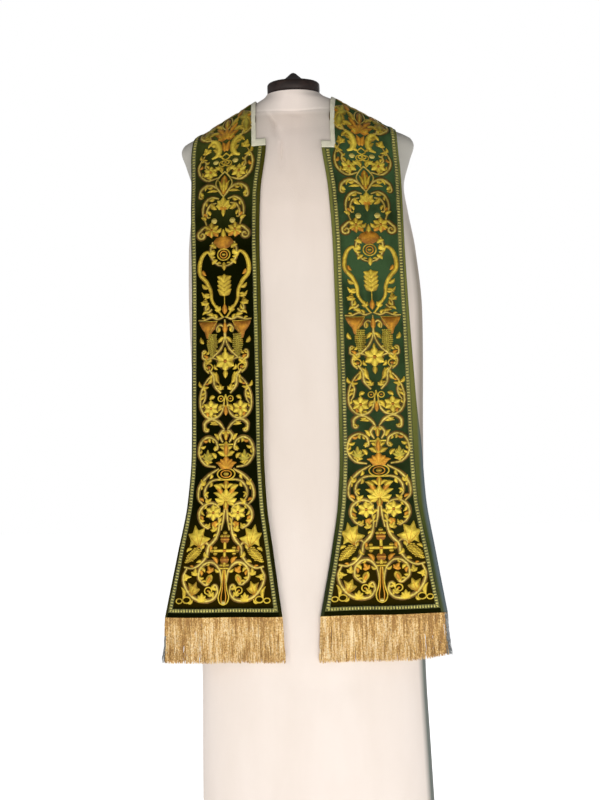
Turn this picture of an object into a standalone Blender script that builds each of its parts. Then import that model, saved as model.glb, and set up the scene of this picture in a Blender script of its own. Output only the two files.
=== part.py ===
"""A clerical stole worn by a limbless dress form, for Blender 4.5. Metres, +Z up.

The form stands on the floor at the origin and faces -Y. The stole is cut as two mirrored
halves that meet in a seam at the centre back. Each half lies round the neck and over the
shoulder, has a notch in its neck edge, and hangs down the front to a flared, fringed hem. The
two hang a few millimetres unlike.
"left" is the wearer's left, at +X.
"""

import math
import random

import bmesh
import bpy
import numpy as np
from mathutils import Vector

# Dress form: a covered body on a pole and a round base, closed at the neck by a turned cap.
FORM_SEGMENTS = 36
FORM_RING_HEIGHTS = (0.16, 0.33, 0.50, 0.70, 0.90, 1.05, 1.15, 1.22, 1.28, 1.33, 1.365, 1.39, 1.415,
                     1.44, 1.458, 1.471, 1.4785, 1.486, 1.4925, 1.498, 1.507, 1.518, 1.5305, 1.543,
                     1.5535, 1.5615, 1.568, 1.5725, 1.576)
CHEST_HEIGHT = 1.27
CAP_RADIUS = 0.051
CAP_HEIGHT = 0.023
CAP_ROUNDING = 0.006
KNOB_RADIUS = 0.030
KNOB_HEIGHT = 0.0207
KNOB_PROFILE = ((0, 1), (0.16, 0.93), (0.55, 0.48), (1, 0.05))   # shares of its radius and height
ROUNDING_STEPS = 3
CAP_STEPS = 32
POLE_RADIUS = 0.016
BASE_RADIUS = 0.20
BASE_THICKNESS = 0.022
BASE_BEVEL = 0.006
BASE_STEPS = 48
POLE_STEPS = 20

# Stole
CLOTH_THICKNESS = 0.002
CLOTH_CLEARANCE = 0.0013     # from the shape that the cloth takes to its inner face
WRAP_HEIGHT = 1.42           # the axis along X that the cloth turns round, over the shoulder
WRAP_Y = 0.004
WRAP_RADIUS = 0.10           # metres of cut for each radian round that axis
FARTHEST = 0.3               # the shape is found by halving between that axis and this far out
HALVINGS = 40
NOTCH_WIDTH = 0.0185
HEM_WAVE = 0.003             # how deep the hem's shallow wave is, how close its waves are, in
HEM_WAVE_TURN = 40           # radians for each metre across, and the stretch in which it grows
HEM_WAVE_START = -0.30
HEM_WAVE_FALL = 0.5
SHOULDER_ROWS = 21           # of cells, from the seam to the notch
DROP_ROWS = 26               # of cells, down the inner braid
BAND_COLUMNS = 6             # of cells, between the binding's line and the outer braid's

# Trims, laid on the outer face
SEAM_GAP = 0.0003
BINDING_WIDTH = 0.0075
FOOT_WIDTH = 0.0135          # of the binding along the notch's level edge
BINDING_THICKNESS = 0.0012
INNER_INSET = 0.0065         # from the cloth's inner edge to the braid
HEM_INSET = 0.009            # from the hem to the braid
BRAID_WIDTH = 0.0075
BRAID_START = 0.001          # below the binding's foot
BRAID_THICKNESS = 0.0009
FRINGE_STRANDS = 92          # at each hem
FRINGE_STRIP = 0.006
FRINGE_LENGTH = 0.086
FRINGE_STEPS = 2
FRINGE_SPLAY = 0.05          # how far a strand leans out, for each metre from the hem's middle
STRAND_SHARE = 0.70          # of its place along the hem that a strand fills
STRAND_SWAY = 0.0016
STRAND_SWAY_TURN = 90        # radians for each metre across
STRAND_RAGGED = 0.004
SEED = 7


def table(columns, *rows):
    """The rows as one array for each named column."""
    return {name: np.array(values, float) for name, values in zip(columns.split(), zip(*rows))}


# The form's level sections: superellipses, from the floor end up to the neck. Its padded cover
# sits a few millimetres to its left between the chest and the knees, and to its right at the neck.
BODY = table(
    "height half_width half_depth centre_x centre_y power",
    (0.160, 0.224, 0.128, 0.010, 0.000, 2.30),
    (0.300, 0.220, 0.125, 0.0085, 0.000, 2.35),
    (0.500, 0.215, 0.121, 0.007, 0.000, 2.40),
    (0.900, 0.220, 0.118, 0.009, 0.000, 2.40),
    (1.150, 0.226, 0.121, 0.008, 0.002, 2.40),
    (1.270, 0.220, 0.126, 0.004, 0.003, 2.40),
    (1.340, 0.211, 0.122, 0.001, 0.004, 2.35),
    (1.390, 0.205, 0.113, 0.000, 0.005, 2.30),
    (1.443, 0.218, 0.099, 0.000, 0.005, 2.25),
    (1.471, 0.2265, 0.090, 0.000, 0.005, 2.20),
    (1.482, 0.222, 0.0858, 0.000, 0.0048, 2.20),
    (1.491, 0.207, 0.0818, 0.000, 0.0044, 2.20),
    (1.4995, 0.187, 0.0780, 0.000, 0.0039, 2.20),
    (1.523, 0.144, 0.0692, 0.000, 0.002, 2.15),
    (1.5365, 0.120, 0.065, 0.000, 0.001, 2.10),
    (1.560, 0.079, 0.0582, 0.000, -0.001, 2.05),
    (1.571, 0.058, 0.0545, -0.003, -0.002, 2.00),
    (1.576, 0.053, 0.053, -0.004, -0.002, 2.00),
)

# How far the stiff cloth stands wider than the form, by height.
SIDE_ROOM = table(
    "height room",
    (0.40, 0.230),
    (0.60, 0.180),
    (0.78, 0.110),
    (0.98, 0.068),
    (1.25, 0.055),
    (1.34, 0.040),
    (1.40, 0.020),
    (1.45, 0.004),
    (1.50, 0.000),
    (1.60, 0.000),
)

# Sections of one half, from the centre back to the hem. An edge's place is how far it is from
# the middle and how far along the cut it is: above 0 up and over the shoulder, below 0 down
# the front. The neck edge goes on below the notch as the line where the tab joins the band.
SECTIONS = table(
    "neck_x neck_along outer_x outer_along",
    (0.0000, 0.213, 0.000, 0.345),    # centre back
    (0.0310, 0.210, 0.060, 0.322),
    (0.0555, 0.197, 0.116, 0.284),
    (0.0690, 0.177, 0.160, 0.232),
    (0.0725, 0.150, 0.185, 0.165),    # top of the shoulder
    (0.0715, 0.096, 0.192, 0.096),
    (0.0725, 0.049, 0.194, 0.049),    # notch
    (0.0845, -0.051, 0.196, -0.051),
    (0.0895, -0.160, 0.200, -0.160),    # chest
    (0.0905, -0.440, 0.209, -0.440),
    (0.0915, -0.534, 0.212, -0.534),    # the flare begins
    (0.0875, -0.627, 0.222, -0.627),
    (0.0755, -0.720, 0.239, -0.720),
    (0.0565, -0.841, 0.259, -0.841),    # hem
)
NOTCH_SECTION = 6
NOTCH_RISE = {1: 0.001, -1: 0.010}   # of each half's notch above that section

# At the same sections, how far each half's edges hang outside those places, below 0 where they
# hang nearer the middle, and how wide the plain margin outside its braid is.
HANG = table(
    "left_neck left_outer left_margin right_neck right_outer right_margin",
    (0.0000, 0.0000, 0.0040, 0.0000, 0.0000, 0.0040),
    (0.0000, 0.0000, 0.0040, 0.0000, 0.0000, 0.0040),
    (-0.0010, 0.0000, 0.0040, 0.0010, 0.0000, 0.0040),
    (-0.0030, 0.0000, 0.0040, 0.0025, 0.0000, 0.0040),
    (-0.0035, 0.0000, 0.0040, 0.0030, 0.0010, 0.0032),
    (-0.0035, 0.0000, 0.0035, 0.0030, 0.0040, 0.0024),
    (-0.0028, 0.0000, 0.0032, 0.0005, 0.0060, 0.0020),
    (-0.0017, 0.0030, 0.0038, -0.0010, 0.0030, 0.0016),
    (-0.0010, 0.0020, 0.0042, -0.0036, -0.0020, 0.0016),
    (0.0011, 0.0065, 0.0095, -0.0046, -0.0052, 0.0016),
    (0.0006, 0.0115, 0.0142, -0.0047, -0.0060, 0.0018),
    (-0.0009, 0.0070, 0.0150, -0.0038, -0.0066, 0.0025),
    (-0.0035, 0.0045, 0.0135, -0.0016, -0.0030, 0.0035),
    (-0.0080, 0.0052, 0.0120, 0.0040, 0.0045, 0.0045),
)


def smooth(at, xs, ys):
    """The monotone cubic through the points, read at any places, and straight past its ends."""
    steps = np.diff(xs)
    rises = np.diff(ys) / steps
    before, after = rises[:-1], rises[1:]
    turning = before * after <= 0
    inner = 2 * before * after / np.where(turning, 1, before + after)
    slopes = np.concatenate([rises[:1], np.where(turning, 0, inner), rises[-1:]])
    at = np.asarray(at, float)
    inside = np.clip(at, xs[0], xs[-1])
    k = np.clip(np.searchsorted(xs, inside, side="right") - 1, 0, len(xs) - 2)
    t = (inside - xs[k]) / steps[k]
    curve = ((1 + 2 * t) * (1 - t) ** 2 * ys[k] + t * t * (3 - 2 * t) * ys[k + 1]
             + steps[k] * (t * (1 - t) ** 2 * slopes[k] - t * t * (1 - t) * slopes[k + 1]))
    return curve + (at - inside) * np.where(at < inside, slopes[0], slopes[-1])


def body(column, height):
    return smooth(height, BODY["height"], BODY[column])


def ring(height, segments):
    """The form's outline at a height, anticlockwise from +X."""
    half_width, half_depth = body("half_width", height), body("half_depth", height)
    exponent = 2 / body("power", height)
    points = []
    for k in range(segments):
        turn = 2 * math.pi * k / segments
        c, s = math.cos(turn), math.sin(turn)
        points.append((
            body("centre_x", height) + half_width * math.copysign(abs(c) ** exponent, c),
            body("centre_y", height) + half_depth * math.copysign(abs(s) ** exponent, s),
            height,
        ))
    return points


def cloth_shape(height):
    """Half width, half depth, centre and power of the shape that the cloth takes at a height.

    It is the form itself at the shoulder. Lower down the cloth stands off at the sides, and
    below the chest it hangs straight from it."""
    hung = np.maximum(height, CHEST_HEIGHT)
    half_width = body("half_width", hung) + smooth(height, SIDE_ROOM["height"], SIDE_ROOM["room"])
    return half_width, body("half_depth", hung), body("centre_y", hung), body("power", hung)


def outside(x, y, z):
    """Below 0 inside the shape that the cloth takes, and above 0 outside it."""
    half_width, half_depth, centre, power = cloth_shape(z)
    return (np.abs(x) / half_width) ** power + (np.abs(y - centre) / half_depth) ** power - 1


def laid(x, along):
    """The point of that shape at x across and along the cut, for arrays of both."""
    turn = np.maximum(along, 0) / WRAP_RADIUS
    drop = np.minimum(along, 0)
    near, far = np.zeros_like(x), np.full_like(x, FARTHEST)
    for _ in range(HALVINGS):
        middle = (near + far) / 2
        out = outside(x, WRAP_Y - middle * np.cos(turn), WRAP_HEIGHT + drop + middle * np.sin(turn)) > 0
        near, far = np.where(out, near, middle), np.where(out, middle, far)
    return np.stack([x, WRAP_Y - near * np.cos(turn), WRAP_HEIGHT + drop + near * np.sin(turn)], -1)


MIDDLE_X = (SECTIONS["neck_x"] + SECTIONS["outer_x"]) / 2
MIDDLE_ALONG = (SECTIONS["neck_along"] + SECTIONS["outer_along"]) / 2
STATIONS = np.concatenate([[0], np.cumsum(np.hypot(np.diff(MIDDLE_X), np.diff(MIDDLE_ALONG)))])
HEM_STATION = STATIONS[-1]
NOTCH_STATIONS = {side: STATIONS[NOTCH_SECTION] - NOTCH_RISE[side] for side in (1, -1)}
HUNG_EDGES = {
    side: (SECTIONS["neck_x"] + HANG[word + "_neck"], SECTIONS["outer_x"] + HANG[word + "_outer"])
    for side, word in ((1, "left"), (-1, "right"))
}
MARGINS = {1: HANG["left_margin"], -1: HANG["right_margin"]}


def band_width(station):
    """The band's width from its neck line to its outer edge, in the cut."""
    across = smooth(station, STATIONS, SECTIONS["outer_x"] - SECTIONS["neck_x"])
    rise = smooth(station, STATIONS, SECTIONS["outer_along"] - SECTIONS["neck_along"])
    return np.hypot(across, rise)


def former_point(side, station, from_neck):
    """Where the cloth lies for a station along the half and metres out from the neck line."""
    share = from_neck / band_width(station)
    x, along = (
        (1 - share) * smooth(station, STATIONS, neck) + share * smooth(station, STATIONS, outer)
        for neck, outer in (HUNG_EDGES[side], (SECTIONS["neck_along"], SECTIONS["outer_along"]))
    )
    point = laid(x, along)
    fall = np.maximum((HEM_WAVE_START - along) / HEM_WAVE_FALL, 0)
    point[..., 1] -= HEM_WAVE * fall**2 * np.sin(HEM_WAVE_TURN * x + side)
    point[..., 0] *= side
    return point


def on_cloth(side, station, from_neck, lift):
    """The same place, moved out from the form by lift along the cloth's own normal."""
    station, from_neck = np.broadcast_arrays(np.asarray(station, float), np.asarray(from_neck, float))
    step = 0.002
    down = (former_point(side, station + step, from_neck)
            - former_point(side, station - step, from_neck))
    out = (former_point(side, station, from_neck + step)
           - former_point(side, station, from_neck - step))
    normal = side * np.cross(down, out)
    normal /= np.linalg.norm(normal, axis=-1, keepdims=True)
    return former_point(side, station, from_neck) + (CLOTH_CLEARANCE + lift) * normal


def row_lines(side):
    """Stations of the lines across one half: close ones over the shoulder, one at each end of
    the notch's binding, one where the inner braid begins, and the hem braid's two."""
    foot_end = NOTCH_STATIONS[side] + FOOT_WIDTH
    hem_braid = HEM_STATION - HEM_INSET - BRAID_WIDTH
    return np.concatenate([
        np.linspace(SEAM_GAP, NOTCH_STATIONS[side], SHOULDER_ROWS + 1),
        [foot_end],
        np.linspace(foot_end + BRAID_START, hem_braid, DROP_ROWS + 1),
        [HEM_STATION - HEM_INSET, HEM_STATION],
    ])


def column_lines(side, station):
    """Distances from the neck line of the lines along one half, from its inner edge out: the
    inner braid's two, the neck line, the binding's, the band's and the outer braid's two."""
    width = band_width(station)
    inner_braid = INNER_INSET - NOTCH_WIDTH
    braid_edge = width - smooth(station, STATIONS, MARGINS[side])
    outer_braid = braid_edge - BRAID_WIDTH
    fixed = [-NOTCH_WIDTH, inner_braid, inner_braid + BRAID_WIDTH, 0]
    band = np.linspace(BINDING_WIDTH, outer_braid, BAND_COLUMNS + 1)
    return np.stack([*(np.full_like(width, line) for line in fixed), *band, braid_edge, width], -1)


def grid_on_cloth(side, lift):
    """Points where the lines cross, lifted. The panel and its trims are all cut from this grid."""
    rows = row_lines(side)
    return on_cloth(side, rows[:, None], column_lines(side, rows), lift)


NOTCH_ROW = SHOULDER_ROWS
HEM_BRAID_ROW = NOTCH_ROW + 2 + DROP_ROWS
INNER_BRAID_COLUMN = 1
BINDING_COLUMN = 3
OUTER_BRAID_COLUMN = BINDING_COLUMN + BAND_COLUMNS + 1


def material(name, colour, roughness, metallic=0.0, sheen=0.0):
    made = bpy.data.materials.new(name)
    made.use_nodes = True
    shader = made.node_tree.nodes["Principled BSDF"]
    shader.inputs["Base Color"].default_value = (*colour, 1)
    shader.inputs["Roughness"].default_value = roughness
    shader.inputs["Metallic"].default_value = metallic
    shader.inputs["Sheen Weight"].default_value = sheen
    return made


def new_object(name, mesh, finish, smooth_angle=40):
    obj = bpy.data.objects.new(name, mesh)
    bpy.context.scene.collection.objects.link(obj)
    mesh.materials.append(finish)
    mesh.shade_smooth()
    mesh.set_sharp_from_angle(angle=math.radians(smooth_angle))
    return obj


def mesh_of(name, points, faces):
    mesh = bpy.data.meshes.new(name)
    mesh.from_pydata([tuple(p) for p in points], [], faces)
    return mesh


def cut_sheet(name, side, lift, thickness, finish, kept):
    """The grid's cells that kept(row, column) keeps, given their thickness outwards."""
    grid = grid_on_cloth(side, lift)
    rows, columns = grid.shape[:2]
    faces = []
    for row in range(rows - 1):
        for column in range(columns - 1):
            if kept(row, column):
                near, far = row * columns + column, (row + 1) * columns + column
                cell = [near, far, far + 1, near + 1]
                faces.append(cell if side > 0 else cell[::-1])
    mesh = mesh_of(name, grid.reshape(-1, 3), faces)
    work = bmesh.new()
    work.from_mesh(mesh)
    bmesh.ops.delete(work, geom=[v for v in work.verts if not v.link_faces], context="VERTS")
    work.to_mesh(mesh)
    work.free()
    solid = new_object(name, mesh, finish).modifiers.new("Solidify", "SOLIDIFY")
    solid.thickness = thickness
    solid.offset = 1


def in_panel(row, column):
    """The band, and the tab beside it from the notch down."""
    return row >= NOTCH_ROW or column >= BINDING_COLUMN


def in_binding(row, column):
    """Along the neck edge, and with a foot along the notch's level edge."""
    return (row < NOTCH_ROW and column == BINDING_COLUMN) or (row == NOTCH_ROW and column <= BINDING_COLUMN)


def in_braid(row, column):
    """Down the outer edge, across above the hem, and up the inner edge to the notch."""
    if row == HEM_BRAID_ROW:
        return INNER_BRAID_COLUMN <= column <= OUTER_BRAID_COLUMN
    inner = column == INNER_BRAID_COLUMN and row > NOTCH_ROW + 1
    return row < HEM_BRAID_ROW and (inner or column == OUTER_BRAID_COLUMN)


def make_half(side, word, velvet, cream, gold):
    """One half of the stole, with the cream binding and the gold braid laid on it."""
    on_face = CLOTH_THICKNESS + SEAM_GAP
    cut_sheet(f"stole_{word}", side, 0, CLOTH_THICKNESS, velvet, in_panel)
    cut_sheet(f"neck_binding_{word}", side, on_face, BINDING_THICKNESS, cream, in_binding)
    cut_sheet(f"border_braid_{word}", side, on_face, BRAID_THICKNESS, gold, in_braid)


def make_fringe(side, word, finish):
    """The fringe: a strip under the hem and the strands that hang from it, in one body."""
    chance = random.Random(SEED + side)
    top, bottom = HEM_STATION + SEAM_GAP, HEM_STATION + SEAM_GAP + FRINGE_STRIP
    across = np.linspace(-NOTCH_WIDTH, band_width(HEM_STATION), FRINGE_STRANDS + 1)
    lines = [on_cloth(side, s, across, lift)
             for s, lift in ((top, 0), (top, CLOTH_THICKNESS), (bottom, CLOTH_THICKNESS), (bottom, 0))]
    points = np.concatenate(lines)
    count = FRINGE_STRANDS + 1
    faces = []
    for k in range(FRINGE_STRANDS):
        for a, b in ((0, 1), (1, 2), (2, 3), (3, 0)):
            faces.append([a * count + k, b * count + k, b * count + k + 1, a * count + k + 1])
    faces += [[k * count for k in range(4)], [k * count + FRINGE_STRANDS for k in range(4)]]
    mesh = mesh_of(f"fringe_{word}", points, faces)
    work = bmesh.new()
    work.from_mesh(mesh)
    bmesh.ops.recalc_face_normals(work, faces=work.faces)
    roots = [f for f in work.faces if f.normal.z < -0.9]
    middle_x = sum(f.calc_center_median().x for f in roots) / len(roots)
    pitch = (band_width(HEM_STATION) + NOTCH_WIDTH) / FRINGE_STRANDS
    bmesh.ops.inset_individual(work, faces=roots, thickness=pitch * (1 - STRAND_SHARE) / 2)
    for step in range(FRINGE_STEPS):
        roots = bmesh.ops.extrude_discrete_faces(work, faces=roots)["faces"]
        for face in roots:
            place = face.calc_center_median().x - middle_x
            sway = STRAND_SWAY * math.sin(STRAND_SWAY_TURN * place + 2 * step + side) * (-1) ** step
            ragged = chance.uniform(-1, 0) * STRAND_RAGGED if step == FRINGE_STEPS - 1 else 0
            length = FRINGE_LENGTH / FRINGE_STEPS + ragged
            move = Vector((FRINGE_SPLAY * place / FRINGE_STEPS, sway, -length))
            bmesh.ops.translate(work, verts=face.verts, vec=move)
    work.to_mesh(mesh)
    work.free()
    new_object(f"fringe_{word}", mesh, finish)


def make_body(finish):
    """The covered body, skinned over its level rings and closed at both ends."""
    rings = [ring(height, FORM_SEGMENTS) for height in FORM_RING_HEIGHTS]
    points = [p for each in rings for p in each]
    faces = []
    for level in range(len(rings) - 1):
        low = level * FORM_SEGMENTS
        for k in range(FORM_SEGMENTS):
            after = (k + 1) % FORM_SEGMENTS
            faces.append([low + k, low + after, low + FORM_SEGMENTS + after, low + FORM_SEGMENTS + k])
    faces.append(list(range(FORM_SEGMENTS))[::-1])
    faces.append([len(points) - FORM_SEGMENTS + k for k in range(FORM_SEGMENTS)])
    new_object("form_body", mesh_of("form_body", points, faces), finish)


def turned(name, profile, centre, finish, steps):
    """A solid turned about the vertical, its profile given top to bottom as radius and height."""
    mesh = mesh_of(name, [(radius, 0, height) for radius, height in profile], [])
    mesh.edges.add(len(profile) - 1)
    for k, edge in enumerate(mesh.edges):
        edge.vertices = (k, k + 1)
    obj = new_object(name, mesh, finish)
    obj.location.x, obj.location.y = centre
    screw = obj.modifiers.new("Screw", "SCREW")
    screw.steps = screw.render_steps = steps
    screw.use_merge_vertices = True
    screw.merge_threshold = 0.00001
    return obj


def make_cap(finish):
    """The neck's wooden cap, with a low pointed knob."""
    foot = FORM_RING_HEIGHTS[-1] + SEAM_GAP
    top = foot + CAP_HEIGHT
    profile = [(KNOB_RADIUS * out, top + KNOB_HEIGHT * up) for out, up in KNOB_PROFILE]
    for k in range(ROUNDING_STEPS + 1):
        turn = math.pi / 2 * k / ROUNDING_STEPS
        profile.append((CAP_RADIUS - CAP_ROUNDING * (1 - math.sin(turn)),
                        top - CAP_ROUNDING * (1 - math.cos(turn))))
    profile += [(CAP_RADIUS, foot), (0, foot)]
    centre = body("centre_x", foot), body("centre_y", foot)
    turned("neck_cap", profile, centre, finish, CAP_STEPS)


def make_stand(finish):
    """A round metal base with a bevelled rim, and the pole between it and the form's underside."""
    rim = BASE_THICKNESS - BASE_BEVEL
    profile = [(0, BASE_THICKNESS), (BASE_RADIUS - BASE_BEVEL, BASE_THICKNESS),
               (BASE_RADIUS, rim), (BASE_RADIUS, 0), (0, 0)]
    turned("stand_base", profile, (0, 0), finish, BASE_STEPS)
    pole_foot, pole_top = BASE_THICKNESS + SEAM_GAP, FORM_RING_HEIGHTS[0] - SEAM_GAP
    profile = [(0, pole_top), (POLE_RADIUS, pole_top), (POLE_RADIUS, pole_foot), (0, pole_foot)]
    turned("stand_pole", profile, (0, 0), finish, POLE_STEPS)


def main():
    for obj in list(bpy.data.objects):
        bpy.data.objects.remove(obj)
    velvet = material("green_velvet", (0.012, 0.060, 0.026), 0.75, sheen=0.6)
    cream = material("cream_binding", (0.72, 0.70, 0.52), 0.7)
    gold = material("gold_braid", (0.62, 0.47, 0.12), 0.38, metallic=0.7)
    fringe = material("gold_fringe", (0.66, 0.44, 0.16), 0.35, metallic=0.6)
    make_body(material("form_cover", (0.80, 0.73, 0.66), 0.85))
    make_cap(material("cap_wood", (0.020, 0.012, 0.012), 0.4))
    make_stand(material("stand_metal", (0.03, 0.03, 0.03), 0.45, metallic=0.6))
    for side, word in ((1, "left"), (-1, "right")):
        make_half(side, word, velvet, cream, gold)
        make_fringe(side, word, fringe)


main()
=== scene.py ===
"""The finished look of a clerical stole on a limbless dress form, over its CAD frame.

The stole is green velvet with machine embroidery in gold thread, a cream binding round the
neck, a gold braid near its edges and a gold fringe at each hem. Metres, +Z up. The form faces
-Y, and "left" is the wearer's left, at +X.
"""

import math

import bpy
import numpy as np
from mathutils import Matrix, Vector


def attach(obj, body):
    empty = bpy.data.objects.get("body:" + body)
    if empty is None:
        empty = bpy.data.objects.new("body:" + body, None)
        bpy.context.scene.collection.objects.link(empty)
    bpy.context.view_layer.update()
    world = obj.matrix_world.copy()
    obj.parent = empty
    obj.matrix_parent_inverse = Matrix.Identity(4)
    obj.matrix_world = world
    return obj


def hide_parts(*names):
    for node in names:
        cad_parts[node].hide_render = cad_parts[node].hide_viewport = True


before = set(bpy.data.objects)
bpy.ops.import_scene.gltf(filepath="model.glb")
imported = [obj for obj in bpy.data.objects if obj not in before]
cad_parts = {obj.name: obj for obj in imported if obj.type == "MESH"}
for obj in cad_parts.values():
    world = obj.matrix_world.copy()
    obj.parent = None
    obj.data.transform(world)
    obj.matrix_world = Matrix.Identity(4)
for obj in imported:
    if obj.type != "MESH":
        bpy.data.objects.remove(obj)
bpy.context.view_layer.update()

# Camera
CAMERA_PLACE = (0.1877, -3.0, 0.915)
CAMERA_YAW = 0.0648
CAMERA_PITCH = 0.0226
CAMERA_ROLL = -0.0255
CAMERA_LENS = 69.76
SENSOR = 36.0

# The form, its cap and the shape that the cloth takes: the same sizes as the solids
CHEST_HEIGHT = 1.27
NECK_TOP = 1.576
FORM_FOOT = 0.16
CAP_RADIUS = 0.051
CAP_HEIGHT = 0.023
CAP_ROUNDING = 0.006
KNOB_RADIUS = 0.030
KNOB_HEIGHT = 0.0207
KNOB_PROFILE = ((0, 1), (0.06, 0.995), (0.16, 0.93), (0.34, 0.70), (0.55, 0.44), (0.8, 0.17), (1, 0.05))
CLOTH_THICKNESS = 0.002
CLOTH_CLEARANCE = 0.0013
WRAP_HEIGHT = 1.42
WRAP_Y = 0.004
WRAP_RADIUS = 0.10
FARTHEST = 0.3
HALVINGS = 40
NOTCH_WIDTH = 0.0185
HEM_WAVE = 0.003
HEM_WAVE_TURN = 40
HEM_WAVE_START = -0.30
HEM_WAVE_FALL = 0.5
SEAM_GAP = 0.0003
BINDING_WIDTH = 0.0075
FOOT_WIDTH = 0.0135
INNER_INSET = 0.0065
HEM_INSET = 0.009
BRAID_WIDTH = 0.0075
BRAID_START = 0.001
FRINGE_STRIP = 0.006
FRINGE_LENGTH = 0.086
FRINGE_SPLAY = 0.05

SEED = 7
MM = 0.001


def table(columns, *rows):
    """The rows as one array for each named column."""
    return {name: np.array(values, float) for name, values in zip(columns.split(), zip(*rows))}


BODY = table(
    "height half_width half_depth centre_x centre_y power",
    (0.160, 0.224, 0.128, 0.010, 0.000, 2.30),
    (0.300, 0.220, 0.125, 0.0085, 0.000, 2.35),
    (0.500, 0.215, 0.121, 0.007, 0.000, 2.40),
    (0.900, 0.220, 0.118, 0.009, 0.000, 2.40),
    (1.150, 0.226, 0.121, 0.008, 0.002, 2.40),
    (1.270, 0.220, 0.126, 0.004, 0.003, 2.40),
    (1.340, 0.211, 0.122, 0.001, 0.004, 2.35),
    (1.390, 0.205, 0.113, 0.000, 0.005, 2.30),
    (1.443, 0.218, 0.099, 0.000, 0.005, 2.25),
    (1.471, 0.2265, 0.090, 0.000, 0.005, 2.20),
    (1.482, 0.222, 0.0858, 0.000, 0.0048, 2.20),
    (1.491, 0.207, 0.0818, 0.000, 0.0044, 2.20),
    (1.4995, 0.187, 0.0780, 0.000, 0.0039, 2.20),
    (1.523, 0.144, 0.0692, 0.000, 0.002, 2.15),
    (1.5365, 0.120, 0.065, 0.000, 0.001, 2.10),
    (1.560, 0.079, 0.0582, 0.000, -0.001, 2.05),
    (1.571, 0.058, 0.0545, -0.003, -0.002, 2.00),
    (1.576, 0.053, 0.053, -0.004, -0.002, 2.00),
)

SIDE_ROOM = table(
    "height room",
    (0.40, 0.230),
    (0.60, 0.180),
    (0.78, 0.110),
    (0.98, 0.068),
    (1.25, 0.055),
    (1.34, 0.040),
    (1.40, 0.020),
    (1.45, 0.004),
    (1.50, 0.000),
    (1.60, 0.000),
)

SECTIONS = table(
    "neck_x neck_along outer_x outer_along",
    (0.0000, 0.213, 0.000, 0.345),
    (0.0310, 0.210, 0.060, 0.322),
    (0.0555, 0.197, 0.116, 0.284),
    (0.0690, 0.177, 0.160, 0.232),
    (0.0725, 0.150, 0.185, 0.165),
    (0.0715, 0.096, 0.192, 0.096),
    (0.0725, 0.049, 0.194, 0.049),
    (0.0845, -0.051, 0.196, -0.051),
    (0.0895, -0.160, 0.200, -0.160),
    (0.0905, -0.440, 0.209, -0.440),
    (0.0915, -0.534, 0.212, -0.534),
    (0.0875, -0.627, 0.222, -0.627),
    (0.0755, -0.720, 0.239, -0.720),
    (0.0565, -0.841, 0.259, -0.841),
)
NOTCH_SECTION = 6
NOTCH_RISE = {1: 0.001, -1: 0.010}

# At the same sections, how far each half's edges hang outside those places, below 0 where they
# hang nearer the middle, and how wide the plain margin outside its braid is.
HANG = table(
    "left_neck left_outer left_margin right_neck right_outer right_margin",
    (0.0000, 0.0000, 0.0040, 0.0000, 0.0000, 0.0040),
    (0.0000, 0.0000, 0.0040, 0.0000, 0.0000, 0.0040),
    (-0.0010, 0.0000, 0.0040, 0.0010, 0.0000, 0.0040),
    (-0.0030, 0.0000, 0.0040, 0.0025, 0.0000, 0.0040),
    (-0.0035, 0.0000, 0.0040, 0.0030, 0.0010, 0.0032),
    (-0.0035, 0.0000, 0.0035, 0.0030, 0.0040, 0.0024),
    (-0.0028, 0.0000, 0.0032, 0.0005, 0.0060, 0.0020),
    (-0.0017, 0.0030, 0.0038, -0.0010, 0.0030, 0.0016),
    (-0.0010, 0.0020, 0.0042, -0.0036, -0.0020, 0.0016),
    (0.0011, 0.0065, 0.0095, -0.0046, -0.0052, 0.0016),
    (0.0006, 0.0115, 0.0142, -0.0047, -0.0060, 0.0018),
    (-0.0009, 0.0070, 0.0150, -0.0038, -0.0066, 0.0025),
    (-0.0035, 0.0045, 0.0135, -0.0016, -0.0030, 0.0035),
    (-0.0080, 0.0052, 0.0120, 0.0040, 0.0045, 0.0045),
)


def smooth(at, xs, ys):
    """The monotone cubic through the points, read at any places, and straight past its ends."""
    steps = np.diff(xs)
    rises = np.diff(ys) / steps
    before, after = rises[:-1], rises[1:]
    turning = before * after <= 0
    inner = 2 * before * after / np.where(turning, 1, before + after)
    slopes = np.concatenate([rises[:1], np.where(turning, 0, inner), rises[-1:]])
    at = np.asarray(at, float)
    inside = np.clip(at, xs[0], xs[-1])
    k = np.clip(np.searchsorted(xs, inside, side="right") - 1, 0, len(xs) - 2)
    t = (inside - xs[k]) / steps[k]
    curve = ((1 + 2 * t) * (1 - t) ** 2 * ys[k] + t * t * (3 - 2 * t) * ys[k + 1]
             + steps[k] * (t * (1 - t) ** 2 * slopes[k] - t * t * (1 - t) * slopes[k + 1]))
    return curve + (at - inside) * np.where(at < inside, slopes[0], slopes[-1])


def body(column, height):
    return smooth(height, BODY["height"], BODY[column])


def cloth_shape(height):
    """Half width, half depth, centre and power of the shape that the cloth takes at a height."""
    hung = np.maximum(height, CHEST_HEIGHT)
    half_width = body("half_width", hung) + smooth(height, SIDE_ROOM["height"], SIDE_ROOM["room"])
    return half_width, body("half_depth", hung), body("centre_y", hung), body("power", hung)


def outside(x, y, z):
    half_width, half_depth, centre, power = cloth_shape(z)
    return (np.abs(x) / half_width) ** power + (np.abs(y - centre) / half_depth) ** power - 1


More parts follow.
